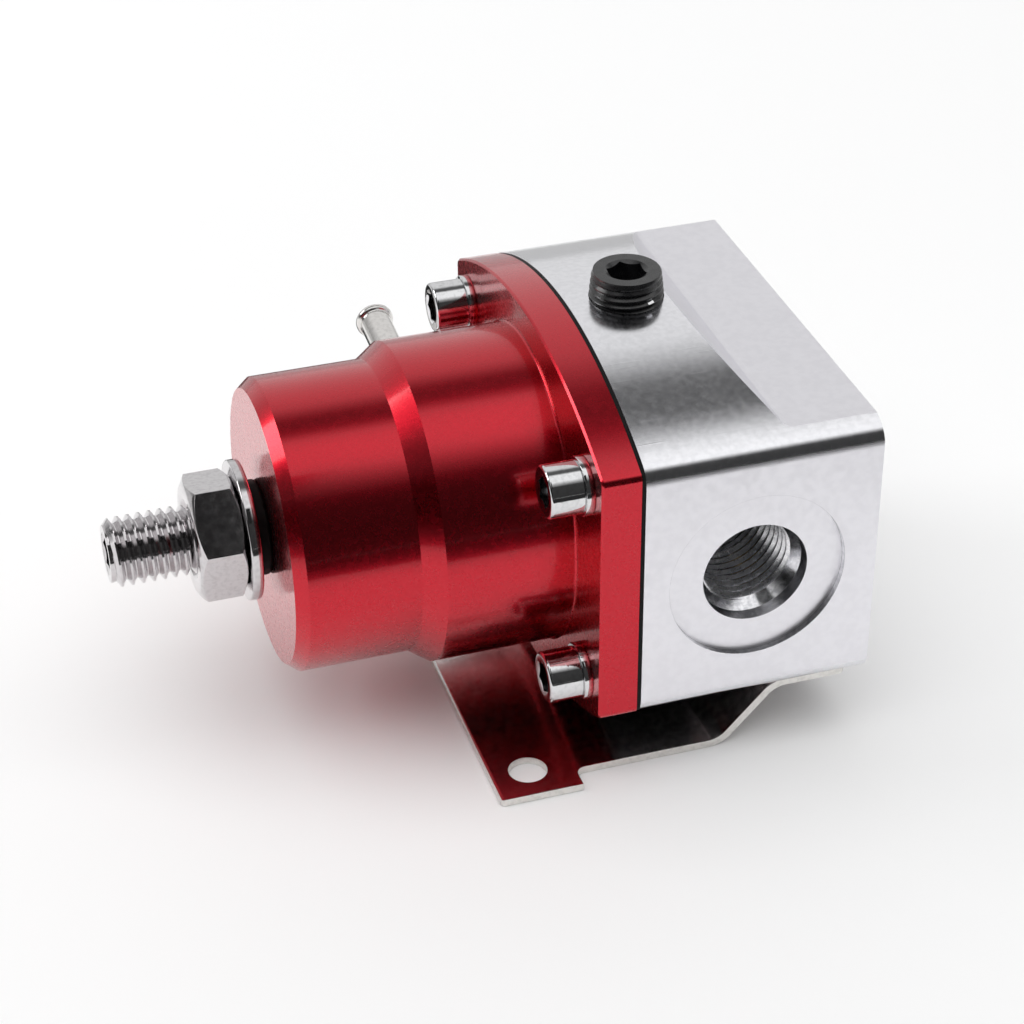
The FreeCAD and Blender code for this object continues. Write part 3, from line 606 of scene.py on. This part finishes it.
def make_black_oxide():
    finish = Finish("black_oxide", Specular_IOR_Level=0.75)
    finish.mottle((0.004, 0.004, 0.005), (0.010, 0.010, 0.011), 700.0)
    finish.grain(4000.0, 0.22, 0.36, 0.00002, 0.4)
    return finish.material


def make_rubber(name):
    finish = Finish(name, Specular_IOR_Level=0.2)
    finish.mottle((0.003, 0.003, 0.003), (0.007, 0.007, 0.007), 900.0)
    finish.grain(6000.0, 0.5, 0.7, 0.00002, 0.5)
    return finish.material


def make_brass():
    finish = Finish("seat_brass", Metallic=1.0)
    finish.mottle((0.78, 0.56, 0.25), (0.68, 0.47, 0.2), 400.0)
    marks = finish.group(TURNING_MARKS, Fineness=9000.0)
    finish.bump(marks.outputs["Height"], 0.00001, 0.4)
    finish.shader.inputs["Roughness"].default_value = 0.28
    return finish.material


RED = make_red_anodised()
POLISHED = make_polished_aluminium()
SATIN = make_satin_aluminium()
PORT_METAL = make_port_aluminium(
    "port_aluminium", (0.86, 0.86, 0.88), (0.66, 0.66, 0.69), 0.14, 0.22
)
TAPPED_METAL = make_port_aluminium(
    "tapped_aluminium", (0.95, 0.95, 0.97), (0.80, 0.80, 0.83), 0.24, 0.34
)
PAINTED_RIM_SHADE = make_painted_rim_shade()
ZINC = make_bright_plate("plated_steel", (0.66, 0.64, 0.65), (0.55, 0.53, 0.54))
BRIGHT = make_bright_plate("bright_steel", (0.76, 0.76, 0.77), (0.62, 0.62, 0.63), 0.05, 0.10)
NICKEL = make_bright_plate("nickel_plate", (0.80, 0.78, 0.76), (0.68, 0.66, 0.64), 0.14, 0.24)
SHEET_PLATE = make_bright_plate("bracket_plate", (0.60, 0.57, 0.56), (0.52, 0.49, 0.48), 0.14, 0.24)
CUT_EDGE = make_bright_plate("bracket_cut_edge", (0.84, 0.82, 0.79), (0.72, 0.70, 0.67), 0.3, 0.5)
PLAIN_STEEL = make_bright_plate("plain_steel", (0.58, 0.57, 0.56), (0.46, 0.45, 0.44), 0.25, 0.4)
BLACK_OXIDE = make_black_oxide()
SEAL_RUBBER = make_rubber("seal_rubber")
DIAPHRAGM_RUBBER = make_rubber("diaphragm_rubber")
BRASS = make_brass()


# Pieces

def crown_outline(corner, inset=0.0, corner_steps=8, crown_steps=40):
    """The outline shared by block, diaphragm and flange: flat sides, wide arcs, round corners."""
    half_width = HALF_WIDTH - inset
    radius = CROWN_RADIUS - inset
    drop = CROWN_RADIUS - CROWN_TOP
    centre_y = half_width - corner
    centre_z = math.sqrt((radius - corner) ** 2 - centre_y**2) - drop
    meeting = math.atan2(centre_z + drop, centre_y)
    quarter = [
        (
            centre_y + corner * math.cos(meeting * step / corner_steps),
            centre_z + corner * math.sin(meeting * step / corner_steps),
        )
        for step in range(corner_steps + 1)
    ]
    for step in range(1, crown_steps + 1):
        angle = meeting + (math.pi / 2 - meeting) * step / crown_steps
        quarter.append((radius * math.cos(angle), radius * math.sin(angle) - drop))
    top = quarter + [(-y, z) for y, z in reversed(quarter[:-1])]
    return top + [(y, -z) for y, z in reversed(top)]


def port_cutter(outer, floor, inner_end):
    """The stepped hole and the tap of one port, along X, with its mouth at outer."""
    spotface = outer - SPOTFACE_DEPTH
    thread_start = spotface - MOUTH_DEPTH - MOUTH_CONE
    hole = turned(
        [
            (outer + PAST, 0), (outer + PAST, SPOTFACE_RADIUS), (spotface, SPOTFACE_RADIUS),
            (spotface, MOUTH_RADIUS), (spotface - MOUTH_DEPTH, MOUTH_RADIUS),
            (thread_start, PORT_MINOR), (floor, PORT_MINOR), (floor - 1, PORT_PASSAGE),
            (inner_end, PORT_PASSAGE), (inner_end, 0),
        ],
        96,
    )
    tap = threaded(
        floor + 0.4, thread_start + 0.3, PORT_MINOR - 0.1, PORT_MAJOR, PORT_PITCH, steps=64,
    )
    paint(hole, 1)
    paint(hole, 2, lambda face: abs(face.normal.x) < 0.9)
    return hole, paint(tap, 4)


def on_port_rim(face):
    """Whether a face belongs to the narrow rim of painted shade round a spotface or a port's mouth.
    """
    middle = face.calc_center_median()
    if abs(middle.y) > HALF_WIDTH - SPOTFACE_DEPTH - 0.5:
        reach = math.hypot(middle.x - PORT_PLACE, middle.z)
    elif middle.x > BLOCK_LENGTH - SPOTFACE_DEPTH - 0.5:
        reach = math.hypot(middle.y, middle.z)
    else:
        return False
    return face.calc_area() < RIM_SHADE_FACE_AREA and any(
        abs(reach - rim) < RIM_SHADE_WIDTH for rim in (SPOTFACE_RADIUS, MOUTH_RADIUS)
    )


def make_regulator_body():
    """The milled block with its crowned faces, rear flats, ports and galleries."""
    block = prism(crown_outline(CORNER_RADIUS), 0, BLOCK_LENGTH)
    slope = STEP_RUN / (CROWN_TOP - FLAT_LEVEL)
    cutters = []
    for side in (1, -1):
        wedge = prism(
            [
                (FLAT_START, side * FLAT_LEVEL), (BLOCK_LENGTH + 2, side * FLAT_LEVEL),
                (BLOCK_LENGTH + 2, side * (CROWN_TOP + 2)),
                (FLAT_START - STEP_RUN - 2 * slope, side * (CROWN_TOP + 2)),
            ],
            -HALF_WIDTH - 2, HALF_WIDTH + 2, "Y",
        )
        soften(wedge, 0.8, 4, ends(lambda place: abs(place.x - FLAT_START) < HAIR))
        cutters.append(paint(wedge, 1))
    return_floor = BLOCK_LENGTH - RETURN_DEPTH
    gallery_end = return_floor - GALLERY_STOP
    holes = [turned(
        [
            (-PAST, 0), (-PAST, CHAMBER_RADIUS), (CHAMBER_DEPTH, CHAMBER_RADIUS),
            (CHAMBER_DEPTH, GALLERY_RADIUS), (gallery_end, GALLERY_RADIUS), (gallery_end, 0),
        ],
        96,
    )]
    gauge = turn_to(bar(PLUG_RADIUS + 0.05, GAUGE_FLOOR, CROWN_TOP + 2), "Z")
    holes.append(shift(gauge, x=GAUGE_PLACE))
    for across, up in BOLT_PLACES:
        holes.append(shift(bar(BOLT_TAP, -PAST, BOLT_TAP_DEPTH, 24), y=across, z=up))
    for side in (-1, 1):
        hole = bar(BRACKET_TAP, -FLAT_LEVEL - PAST, -FLAT_LEVEL + BRACKET_TAP_DEPTH, 24)
        turn_to(hole, "Z")
        holes.append(shift(hole, x=BRACKET_SCREW_PLACE, y=side * BRACKET_SCREW_SPREAD))
    cutters += [paint(hole, 2) for hole in holes]

    ports = []
    taps = []
    for turn in (math.pi / 2, -math.pi / 2):
        hole, tap = port_cutter(HALF_WIDTH, HALF_WIDTH - PORT_DEPTH, 2)
        for shape in (hole, tap):
            bmesh.ops.rotate(shape, verts=shape.verts, matrix=Matrix.Rotation(turn, 3, "Z"))
            shift(shape, x=PORT_PLACE)
        ports.append(hole)
        taps.append(tap)
    hole, tap = port_cutter(BLOCK_LENGTH, return_floor, gallery_end - 0.1)
    ports.append(hole)
    taps.append(tap)
    block = carve(block, *cutters, *ports)
    soften(block, 0.22, 2, lambda edge: not all(
        abs(vert.co.z) > FLAT_LEVEL - 0.3 and 0.1 < vert.co.x < BLOCK_LENGTH - 0.1
        for vert in edge.verts
    ), sharp=28)
    # Painted shade: the small bevel faces round each spotface and port mouth take the darker rim
    # finish.
    paint(block, 3, on_port_rim)
    block = carve(block, *taps)
    paint(block, 1, lambda face: face.material_index == 0 and (
        abs(face.normal.x) > 0.9 or abs(face.normal.y) > 0.97
    ))
    show(
        "block", block, "regulator_body", "root",
        [POLISHED, SATIN, PORT_METAL, PAINTED_RIM_SHADE, TAPPED_METAL], 20,
    )


def make_bonnet():
    """The turned spring housing with its flange."""
    flange = prism(crown_outline(FLANGE_CORNER), FLANGE_FRONT, -DIAPHRAGM_THICKNESS)
    soften(flange, 0.3, 1, ends(lambda place: place.x < FLANGE_FRONT + HAIR))
    fillet = [
        (
            FLANGE_FRONT + 0.02 - NECK_FILLET * (1 - math.cos(math.pi / 2 * step / 6)),
            NECK_RADIUS + NECK_FILLET * (1 - math.sin(math.pi / 2 * step / 6)),
        )
        for step in range(7)
    ]
    barrel = turned(
        [(FLANGE_FRONT + 3, 0), (FLANGE_FRONT + 3, NECK_RADIUS + NECK_FILLET)]
        + fillet
        + [
            (NECK_FRONT, NECK_RADIUS), (NECK_FRONT - CONE_LENGTH, BARREL_RADIUS),
            (BONNET_END + END_BEVEL_LENGTH, BARREL_RADIUS),
            (BONNET_END, BARREL_RADIUS - END_BEVEL_WIDTH), (BONNET_END, 0),
        ],
        160,
    )
    inner_end = BONNET_END + END_WALL
    guide_end = inner_end + GUIDE_LENGTH
    bore = turned(
        [
            (2, 0), (2, SPRING_BORE), (inner_end, SPRING_BORE), (inner_end, GUIDE_RADIUS),
            (guide_end, GUIDE_RADIUS), (guide_end, SCREW_HOLE), (BONNET_END - 2, SCREW_HOLE),
            (BONNET_END - 2, 0),
        ],
        96,
    )
    body = carve(flange, barrel, way="UNION")
    holes = [
        shift(bar(BOLT_HOLE, FLANGE_FRONT - 2, 2, 32), y=across, z=up)
        for across, up in BOLT_PLACES
    ]
    nipple_hole = on_nipple_line(bar(NIPPLE_HOLE, 10, NIPPLE_CUT_END, 32))
    seat = on_nipple_line(bar(NIPPLE_SEAT, NIPPLE_SEAT_FLOOR, NIPPLE_CUT_END, 48))
    body = carve(body, bore, nipple_hole, seat, *holes)
    soften(body, 0.16, 2, sharp=22)
    show("bonnet_shell", body, "bonnet", "root", [RED], 35)


def make_diaphragm():
    """The black edge of the clamped sheet, a hair inside the metal round it."""
    sheet = prism(crown_outline(FLANGE_CORNER, inset=0.12), -DIAPHRAGM_THICKNESS, 0)
    sheet = carve(sheet, bar(3.05, -2, 1))
    soften(sheet, 0.12, 2, sharp=40)
    show("diaphragm_sheet", sheet, "diaphragm", "root", [DIAPHRAGM_RUBBER])


def make_adjusting_screw():
    screw = threaded(SCREW_END, SCREW_INNER, SCREW_MINOR, SCREW_MAJOR, SCREW_PITCH, (0.9, 0.9), 64)
    mouth = turned(
        [
            (SCREW_END - PAST, 0), (SCREW_END - PAST, 3.15), (SCREW_END, 3.15),
            (SCREW_END + 1.6, 0),
        ],
        48,
    )
    socket_hole = hexagon_bar(SCREW_SOCKET, SCREW_END - PAST, SCREW_END + 5)
    screw = carve(screw, socket_hole, mouth)
    show(
        "adjusting_screw_threaded", screw, "adjusting_screw", "adjuster", [ZINC], 30
    )


def make_lock_nut():
    front, back = along_axis(nut_low.x), along_axis(nut_high.x)
    land = NUT_FLATS / 2 * NUT_LAND_SHARE
    reach = NUT_FLATS / math.sqrt(3) + 0.05
    bevel = (reach - land) * math.tan(math.radians(30))
    envelope = turned(
        [
            (back, 0), (back, land), (back - bevel, reach), (front + bevel, reach), (front, land),
            (front, 0),
        ],
        192,
    )
    nut = carve(hexagon_bar(NUT_FLATS, front - 1, back + 1, NUT_TURN), envelope, way="INTERSECT")
    bore = turned(
        [
            (front - 1, 0), (front - 1, NUT_MOUTH), (front, NUT_MOUTH),
            (front + 0.7, SCREW_HOLE), (back - 0.7, SCREW_HOLE), (back, NUT_MOUTH),
            (back + 1, NUT_MOUTH), (back + 1, 0),
        ],
        64,
    )
    nut = carve(nut, bore)
    soften(nut, 0.14, 2, sharp=20)
    show("lock_nut_hexagon", nut, "lock_nut", "nut", [ZINC], 30)


def plain_ring(low, high, bore, radius, steps):
    """A square-cut ring about the axis, as deep as its node's box."""
    front, back = along_axis(low.x), along_axis(high.x)
    return turned(
        [(front, bore), (front, radius), (back, radius), (back, bore)], steps, closed=True
    )


def make_adjuster_rings():
    """The washer under the lock nut and the rubber seal behind it."""
    washer = plain_ring(washer_low, washer_high, WASHER_BORE, WASHER_RADIUS, 160)
    soften(washer, 0.28, 3)
    show("nut_washer_ring", washer, "nut_washer", "washer_slide", [ZINC])
    seal = plain_ring(seal_low, seal_high, SCREW_HOLE, SEAL_RADIUS, 96)
    soften(seal, 0.5, 4)
    show("screw_seal_ring", seal, "screw_seal", "root", [SEAL_RUBBER])


def make_cap_screw(number, across, up):
    """A socket head screw and the split washer under it."""
    under = FLANGE_FRONT - LOCK_THICKNESS
    top = under - HEAD_HEIGHT
    screw = turned(
        [
            (top, 0), (top, HEAD_RADIUS), (under, HEAD_RADIUS), (under, BOLT_RADIUS - 0.05),
            (under + BOLT_REACH - 0.6, BOLT_RADIUS - 0.05), (under + BOLT_REACH, 1.8),
            (under + BOLT_REACH, 0),
        ],
        96,
    )
    soften(screw, 0.45, 4, ends(lambda place: place.x < top + HAIR))
    soften(screw, 0.15, 2, ends(lambda place: place.x < under + HAIR))
    mouth = turned([(top - PAST, 0), (top - PAST, 2.5), (top, 2.5), (top + 1.1, 0)], 48)
    turn = math.radians(15 * number)
    screw = carve(screw, hexagon_bar(HEAD_SOCKET, top - PAST, top + 2.6, turn), mouth)
    shift(screw, y=across * BOLT_Y, z=up * BOLT_Z)
    name = "cap_screw_%d" % number
    show(name + "_socket_head", screw, name, "root", [BRIGHT], 30)

    washer = bmesh.new()
    seat = FLANGE_FRONT - HAIR
    bore = BOLT_RADIUS + 0.1
    face = washer.faces.new([
        washer.verts.new((place, 0, radius))
        for place, radius in (
            (under, bore), (under, LOCK_RADIUS), (seat, LOCK_RADIUS), (seat, bore),
        )
    ])
    bmesh.ops.spin(
        washer, geom=[face], cent=(0, 0, 0), axis=(1, 0, 0), angle=math.tau - LOCK_GAP, steps=72
    )
    bmesh.ops.rotate(
        washer, verts=washer.verts, matrix=Matrix.Rotation(math.radians(100 + 75 * number), 3, "X")
    )
    bmesh.ops.recalc_face_normals(washer, faces=washer.faces)
    soften(washer, 0.12, 2)
    shift(washer, y=across * BOLT_Y, z=up * BOLT_Z)
    name = "lock_washer_%d" % number
    show(name + "_split", washer, name, "root", [BRIGHT])


def make_gauge_port_plug():
    """A black pipe plug with a tapered thread, a hexagon socket and one bright nick."""
    top = (plug_high.z - AXIS_HEIGHT) / MM
    bottom = (plug_low.z - AXIS_HEIGHT) / MM
    plug = threaded(bottom, top, PLUG_RADIUS - 0.48, PLUG_RADIUS, PLUG_PITCH, (0.5, 0.0), 64)
    for vert in plug.verts:
        reach = math.hypot(vert.co.y, vert.co.z)
        depth = top - vert.co.x
        edge = max(0.0, PLUG_TOP_EDGE - depth)
        room = PLUG_RADIUS - PLUG_CREST_LOSS + PLUG_TAPER * depth - edge
        if reach > room:
            vert.co.y *= room / reach
            vert.co.z *= room / reach
    mouth = turned([(top - 2.2, 0), (top, 3.1), (top + PAST, 3.1), (top + PAST, 0)], 48)
    plug = carve(plug, hexagon_bar(PLUG_SOCKET, top - 4.5, top + PAST), mouth)
    turn_to(plug, "Z")
    nick = Vector((1.99, -4.8, top - 2.85))
    paint(plug, 1, lambda face: (face.calc_center_median() - nick).length < NICK_RADIUS)
    shift(plug, x=GAUGE_PLACE)
    show(
        "gauge_port_plug_threaded", plug, "gauge_port_plug", "root",
        [BLACK_OXIDE, BRIGHT], 30,
    )


def make_vacuum_nipple():
    """The hose barb: a pressed shank and collar, a stem and a rounded bead at its tip."""
    tip = nipple_high.y / MM / math.cos(NIPPLE_TILT) - 0.26
    collar = NECK_RADIUS - 0.3
    nipple = turned(
        [
            (NIPPLE_FOOT, NIPPLE_BORE), (NIPPLE_FOOT, NIPPLE_SHANK), (collar, NIPPLE_SHANK),
            (collar, NIPPLE_COLLAR), (collar + 2, NIPPLE_COLLAR), (collar + 2, NIPPLE_STEM),
            (tip - 1.5, NIPPLE_STEM), (tip - 1.2, 2.52), (tip - 1.05, 2.78),
            (tip - 0.75, NIPPLE_BEAD), (tip - 0.35, NIPPLE_BEAD), (tip - 0.08, 2.76),
            (tip, 2.5), (tip, 1.9), (tip - 0.4, NIPPLE_BORE),
        ],
        96,
        closed=True,
    )
    soften(nipple, 0.1, 2, sharp=35)
    on_nipple_line(nipple)
    show("vacuum_nipple_barb", nipple, "vacuum_nipple", "root", [NICKEL])


def make_mounting_bracket():
    """The bent sheet: foot with two ears, slope, and a plate under the block."""
    front = along_axis(bracket_low.x)
    rear = along_axis(bracket_high.x)
    half_width = bracket_high.y / MM
    plate_level = -FLAT_LEVEL
    rise = plate_level - FOOT_LEVEL
    bend = math.atan2(rise, FLAT_START - SLOPE_START)
    lag = SHEET * math.tan(bend / 2)
    sheet = prism(
        [
            (front, FOOT_LEVEL), (SLOPE_START, FOOT_LEVEL), (FLAT_START, plate_level),
            (rear, plate_level), (rear, plate_level - SHEET),
            (FLAT_START + lag, plate_level - SHEET), (SLOPE_START + lag, FOOT_LEVEL - SHEET),
            (front, FOOT_LEVEL - SHEET),
        ],
        -half_width, half_width, "Y",
    )
    for level, radius in (
        (FOOT_LEVEL, BEND_RADIUS), (plate_level - SHEET, BEND_RADIUS),
        (FOOT_LEVEL - SHEET, BEND_RADIUS + SHEET), (plate_level, BEND_RADIUS + SHEET),
    ):
        soften(sheet, radius * math.tan(bend / 2), 6, ends(lambda place: (
            front + 1 < place.x < rear - 1 and abs(place.z - level) < HAIR
        )), sharp=10)
    notches = []
    for side in (-1, 1):
        notch = prism(
            [
                (EAR_BACK, side * STRIP_HALF), (rear + 5, side * STRIP_HALF),
                (rear + 5, side * (half_width + 5)), (EAR_BACK, side * (half_width + 5)),
            ],
            FOOT_LEVEL - 5, plate_level + 5, "Z",
        )
        soften(notch, NOTCH_CORNER, 6, ends(lambda place: (
            abs(place.x - EAR_BACK) < HAIR and abs(place.y) < STRIP_HALF + HAIR
        )))
        notches.append(notch)
        hole = turn_to(bar(HOLE_RADIUS, FOOT_LEVEL - 5, FOOT_LEVEL + 5), "Z")
        notches.append(shift(hole, x=HOLE_PLACE, y=side * HOLE_SPREAD))
        hole = turn_to(bar(BOLT_HOLE, plate_level - 5, plate_level + 5, 32), "Z")
        notches.append(shift(hole, x=BRACKET_SCREW_PLACE, y=side * BRACKET_SCREW_SPREAD))
    sheet = carve(sheet, *notches)
    for width, end, side in (
        (EAR_CORNER, front, half_width), (REAR_CORNER, rear, STRIP_HALF),
    ):
        soften(sheet, width, 8, ends(lambda place: (
            abs(place.x - end) < HAIR and abs(abs(place.y) - side) < HAIR
        )))
    paint(sheet, 1, lambda face: abs(face.normal.y) > 0.5 or (
        abs(face.normal.x) > 0.75
        and not EAR_BACK + 2 <= face.calc_center_median().x <= rear - 3
    ))
    soften(sheet, 0.13, 2, sharp=50)
    show(
        "mounting_bracket_sheet", sheet, "mounting_bracket", "root",
        [SHEET_PLATE, CUT_EDGE], 35,
    )


def make_bracket_screw(number, side):
    """A pan head screw driven up through the bracket's plate."""
    under = -FLAT_LEVEL - SHEET
    bottom = under - PAN_HEIGHT
    tip = under + BRACKET_SCREW_REACH
    screw = turned(
        [
            (bottom, 0), (bottom, 3.2), (under - PAN_HEIGHT / 2, PAN_RADIUS),
            (under, PAN_RADIUS), (under, BRACKET_SCREW_RADIUS), (tip, BRACKET_SCREW_RADIUS),
            (tip, 0),
        ],
        96,
    )
    soften(screw, 0.3, 3)
    screw = carve(screw, hexagon_bar(3.0, bottom - PAST, bottom + 1.8))
    turn_to(screw, "Z")
    shift(screw, x=BRACKET_SCREW_PLACE, y=side * BRACKET_SCREW_SPREAD)
    name = "bracket_screw_%d" % number
    show(name + "_pan_head", screw, name, "root", [ZINC], 30)


def make_spring():
    """The hidden spring, a fixed copy of its node in plain steel; in the regulator it shortens as
    its cap is screwed towards the diaphragm.
    """
    coil = bmesh.new()
    coil.from_mesh(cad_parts["spring"].data)
    bmesh.ops.remove_doubles(coil, verts=coil.verts, dist=HAIR * MM / 10)
    for face in coil.faces:
        face.smooth = True
        face.material_index = 0
    piece = as_object(coil, "spring_coil")
    piece.data.set_sharp_from_angle(angle=math.radians(40))
    piece.data.materials.append(PLAIN_STEEL)
    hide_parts("spring")
    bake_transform(piece)


def dress_inner_pieces():
    """Pieces closed up inside keep their solids and get their metals."""
    for name in (
        "spring_cap", "diaphragm_upper_plate", "diaphragm_lower_plate", "valve_stem", "stem_nut",
        "valve_ball", "valve_seat",
    ):
        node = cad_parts[name]
        node.data.materials.clear()
        node.data.materials.append(BRASS if name == "valve_seat" else PLAIN_STEEL)


# Studio

def make_sheet(name, corner, far_corner, height, colour):
    """A level sheet of paper, which is no piece of the regulator."""
    bm = bmesh.new()
    spots = ((0, 0), (1, 0), (1, 1), (0, 1))
    bm.faces.new([
        bm.verts.new(((corner, far_corner)[right][0], (corner, far_corner)[back][1], height))
        for right, back in spots
    ])
    paper = as_object(bm, name)
    finish = Finish(name + "_paper", Base_Color=(colour, colour, colour, 1), Roughness=0.9)
    finish.shader.inputs["Specular IOR Level"].default_value = 0.1
    paper.data.materials.append(finish.material)
    return paper


def make_table():
    """A white table, with dark and grey cards on and over it that show only as reflections in the
    metal: painted shade in the reflections.
    """
    make_sheet("table", (-12, -12), (12, 12), 0.0, 0.93)
    # Painted shade seen only in reflections: the front card darkens the floor in front, the rear
    # card greys the floor behind, the shade card stands in for the shadow on the floor behind the
    # block, and the nut card darkens the reflection in the nut's front facet.
    for name, corner, far_corner, height, colour in (
        ("front_card", (-6, -6), (6, -0.155), 0.001, 0.02),
        ("rear_card", (-6, 0.17), (6, 6), 0.001, 0.5),
        ("shade_card", (-0.035, 0.06), (0.02, 0.16), 0.001, 0.02),
        ("nut_shade_card", (-0.12, -0.28), (0.02, -0.11), 0.27, 0.02),
    ):
        card = make_sheet(name, corner, far_corner, height, colour)
        card.visible_camera = False
        card.visible_diffuse = False
        card.visible_shadow = False


def make_lights():
    """An even light from overhead, and a small soft box at the left that edges catch."""
    aim = Vector((0.0, 0.0, 0.03))
    box = bpy.data.lights.new("left_soft_box", "AREA")
    box.shape = "RECTANGLE"
    box.size = 0.55
    box.size_y = 0.45
    box.energy = 3.5
    fill = bpy.data.lights.new("overhead_light", "SUN")
    fill.angle = math.radians(80)
    fill.energy = 1.45
    for light, place in ((box, (-0.95, 0.45, 0.62)), (fill, (-0.2, -0.3, 1.5))):
        lamp = bpy.data.objects.new(light.name, light)
        lamp.location = place
        lamp.rotation_euler = (aim - Vector(place)).to_track_quat("-Z", "Y").to_euler()
        lamp.visible_glossy = light is box
        bpy.context.scene.collection.objects.link(lamp)


def make_room():
    """The studio round the table: dark in front, above the back and at the left, pale behind."""
    world = bpy.data.worlds.new("studio")
    bpy.context.scene.world = world
    world.use_nodes = True
    tree = world.node_tree
    background = tree.nodes["Background"]
    coordinates = tree.nodes.new("ShaderNodeTexCoord").outputs["Generated"]
    split = tree.nodes.new("ShaderNodeSeparateXYZ")
    tree.links.new(coordinates, split.inputs[0])
    angle = math_node(tree, "ARCTAN2", split.outputs[2], split.outputs[1])
    share = math_node(tree, "DIVIDE", angle, math.pi)
    ramp = tree.nodes.new("ShaderNodeValToRGB")
    tree.links.new(share, ramp.inputs[0])
    # Shares of the half turn from the horizon behind, over the top, to the horizon in front.
    stops = (
        (0.0, 0.75), (0.167, 0.78), (0.289, 0.80), (0.328, 0.45), (0.36, 0.12), (0.43, 0.10),
        (0.455, 0.5), (0.475, 1.05), (0.63, 1.05), (0.70, 0.35), (0.744, 0.05), (0.989, 0.04),
    )
    while len(ramp.color_ramp.elements) < len(stops):
        ramp.color_ramp.elements.new(0.5)
    for element, (place, level) in zip(ramp.color_ramp.elements, stops):
        element.position = place
        element.color = (level, level, level, 1)
    tree.links.new(ramp.outputs[0], background.inputs["Color"])
    dimmer = range_node(tree, split.outputs[0], -0.8, -0.4, 0.12, 1.0)
    tree.links.new(dimmer, background.inputs["Strength"])


def make_camera():
    """The photograph's own viewpoint, worked out from the regulator's edges."""
    azimuth = math.radians(17.407)
    elevation = math.radians(33.359)
    roll = math.radians(-0.426)
    forward = Vector((
        math.sin(azimuth) * math.cos(elevation),
        math.cos(azimuth) * math.cos(elevation),
        -math.sin(elevation),
    ))
    right = Vector((math.cos(azimuth), -math.sin(azimuth), 0))
    up = right.cross(forward)
    rolled_right = math.cos(roll) * right + math.sin(roll) * up
    rolled_up = math.cos(roll) * up - math.sin(roll) * right
    turn = Matrix((rolled_right, rolled_up, -forward)).transposed().to_4x4()
    lens = bpy.data.cameras.new("camera")
    lens.sensor_width = 36.0
    lens.lens = 91.563
    camera = bpy.data.objects.new("camera", lens)
    camera.matrix_world = Matrix.Translation((-0.08742, -0.30074, 0.23291)) @ turn
    bpy.context.scene.collection.objects.link(camera)
    bpy.context.scene.camera = camera


make_regulator_body()
make_bonnet()
make_diaphragm()
make_adjusting_screw()
make_lock_nut()
make_adjuster_rings()
for number, (across, up) in enumerate(((-1, 1), (-1, -1), (1, 1), (1, -1)), start=1):
    make_cap_screw(number, across, up)
make_gauge_port_plug()
make_vacuum_nipple()
make_mounting_bracket()
make_bracket_screw(1, -1)
make_bracket_screw(2, 1)
make_spring()
dress_inner_pieces()
make_table()
make_lights()
make_room()
make_camera()
bpy.context.scene.view_settings.view_transform = "Standard"
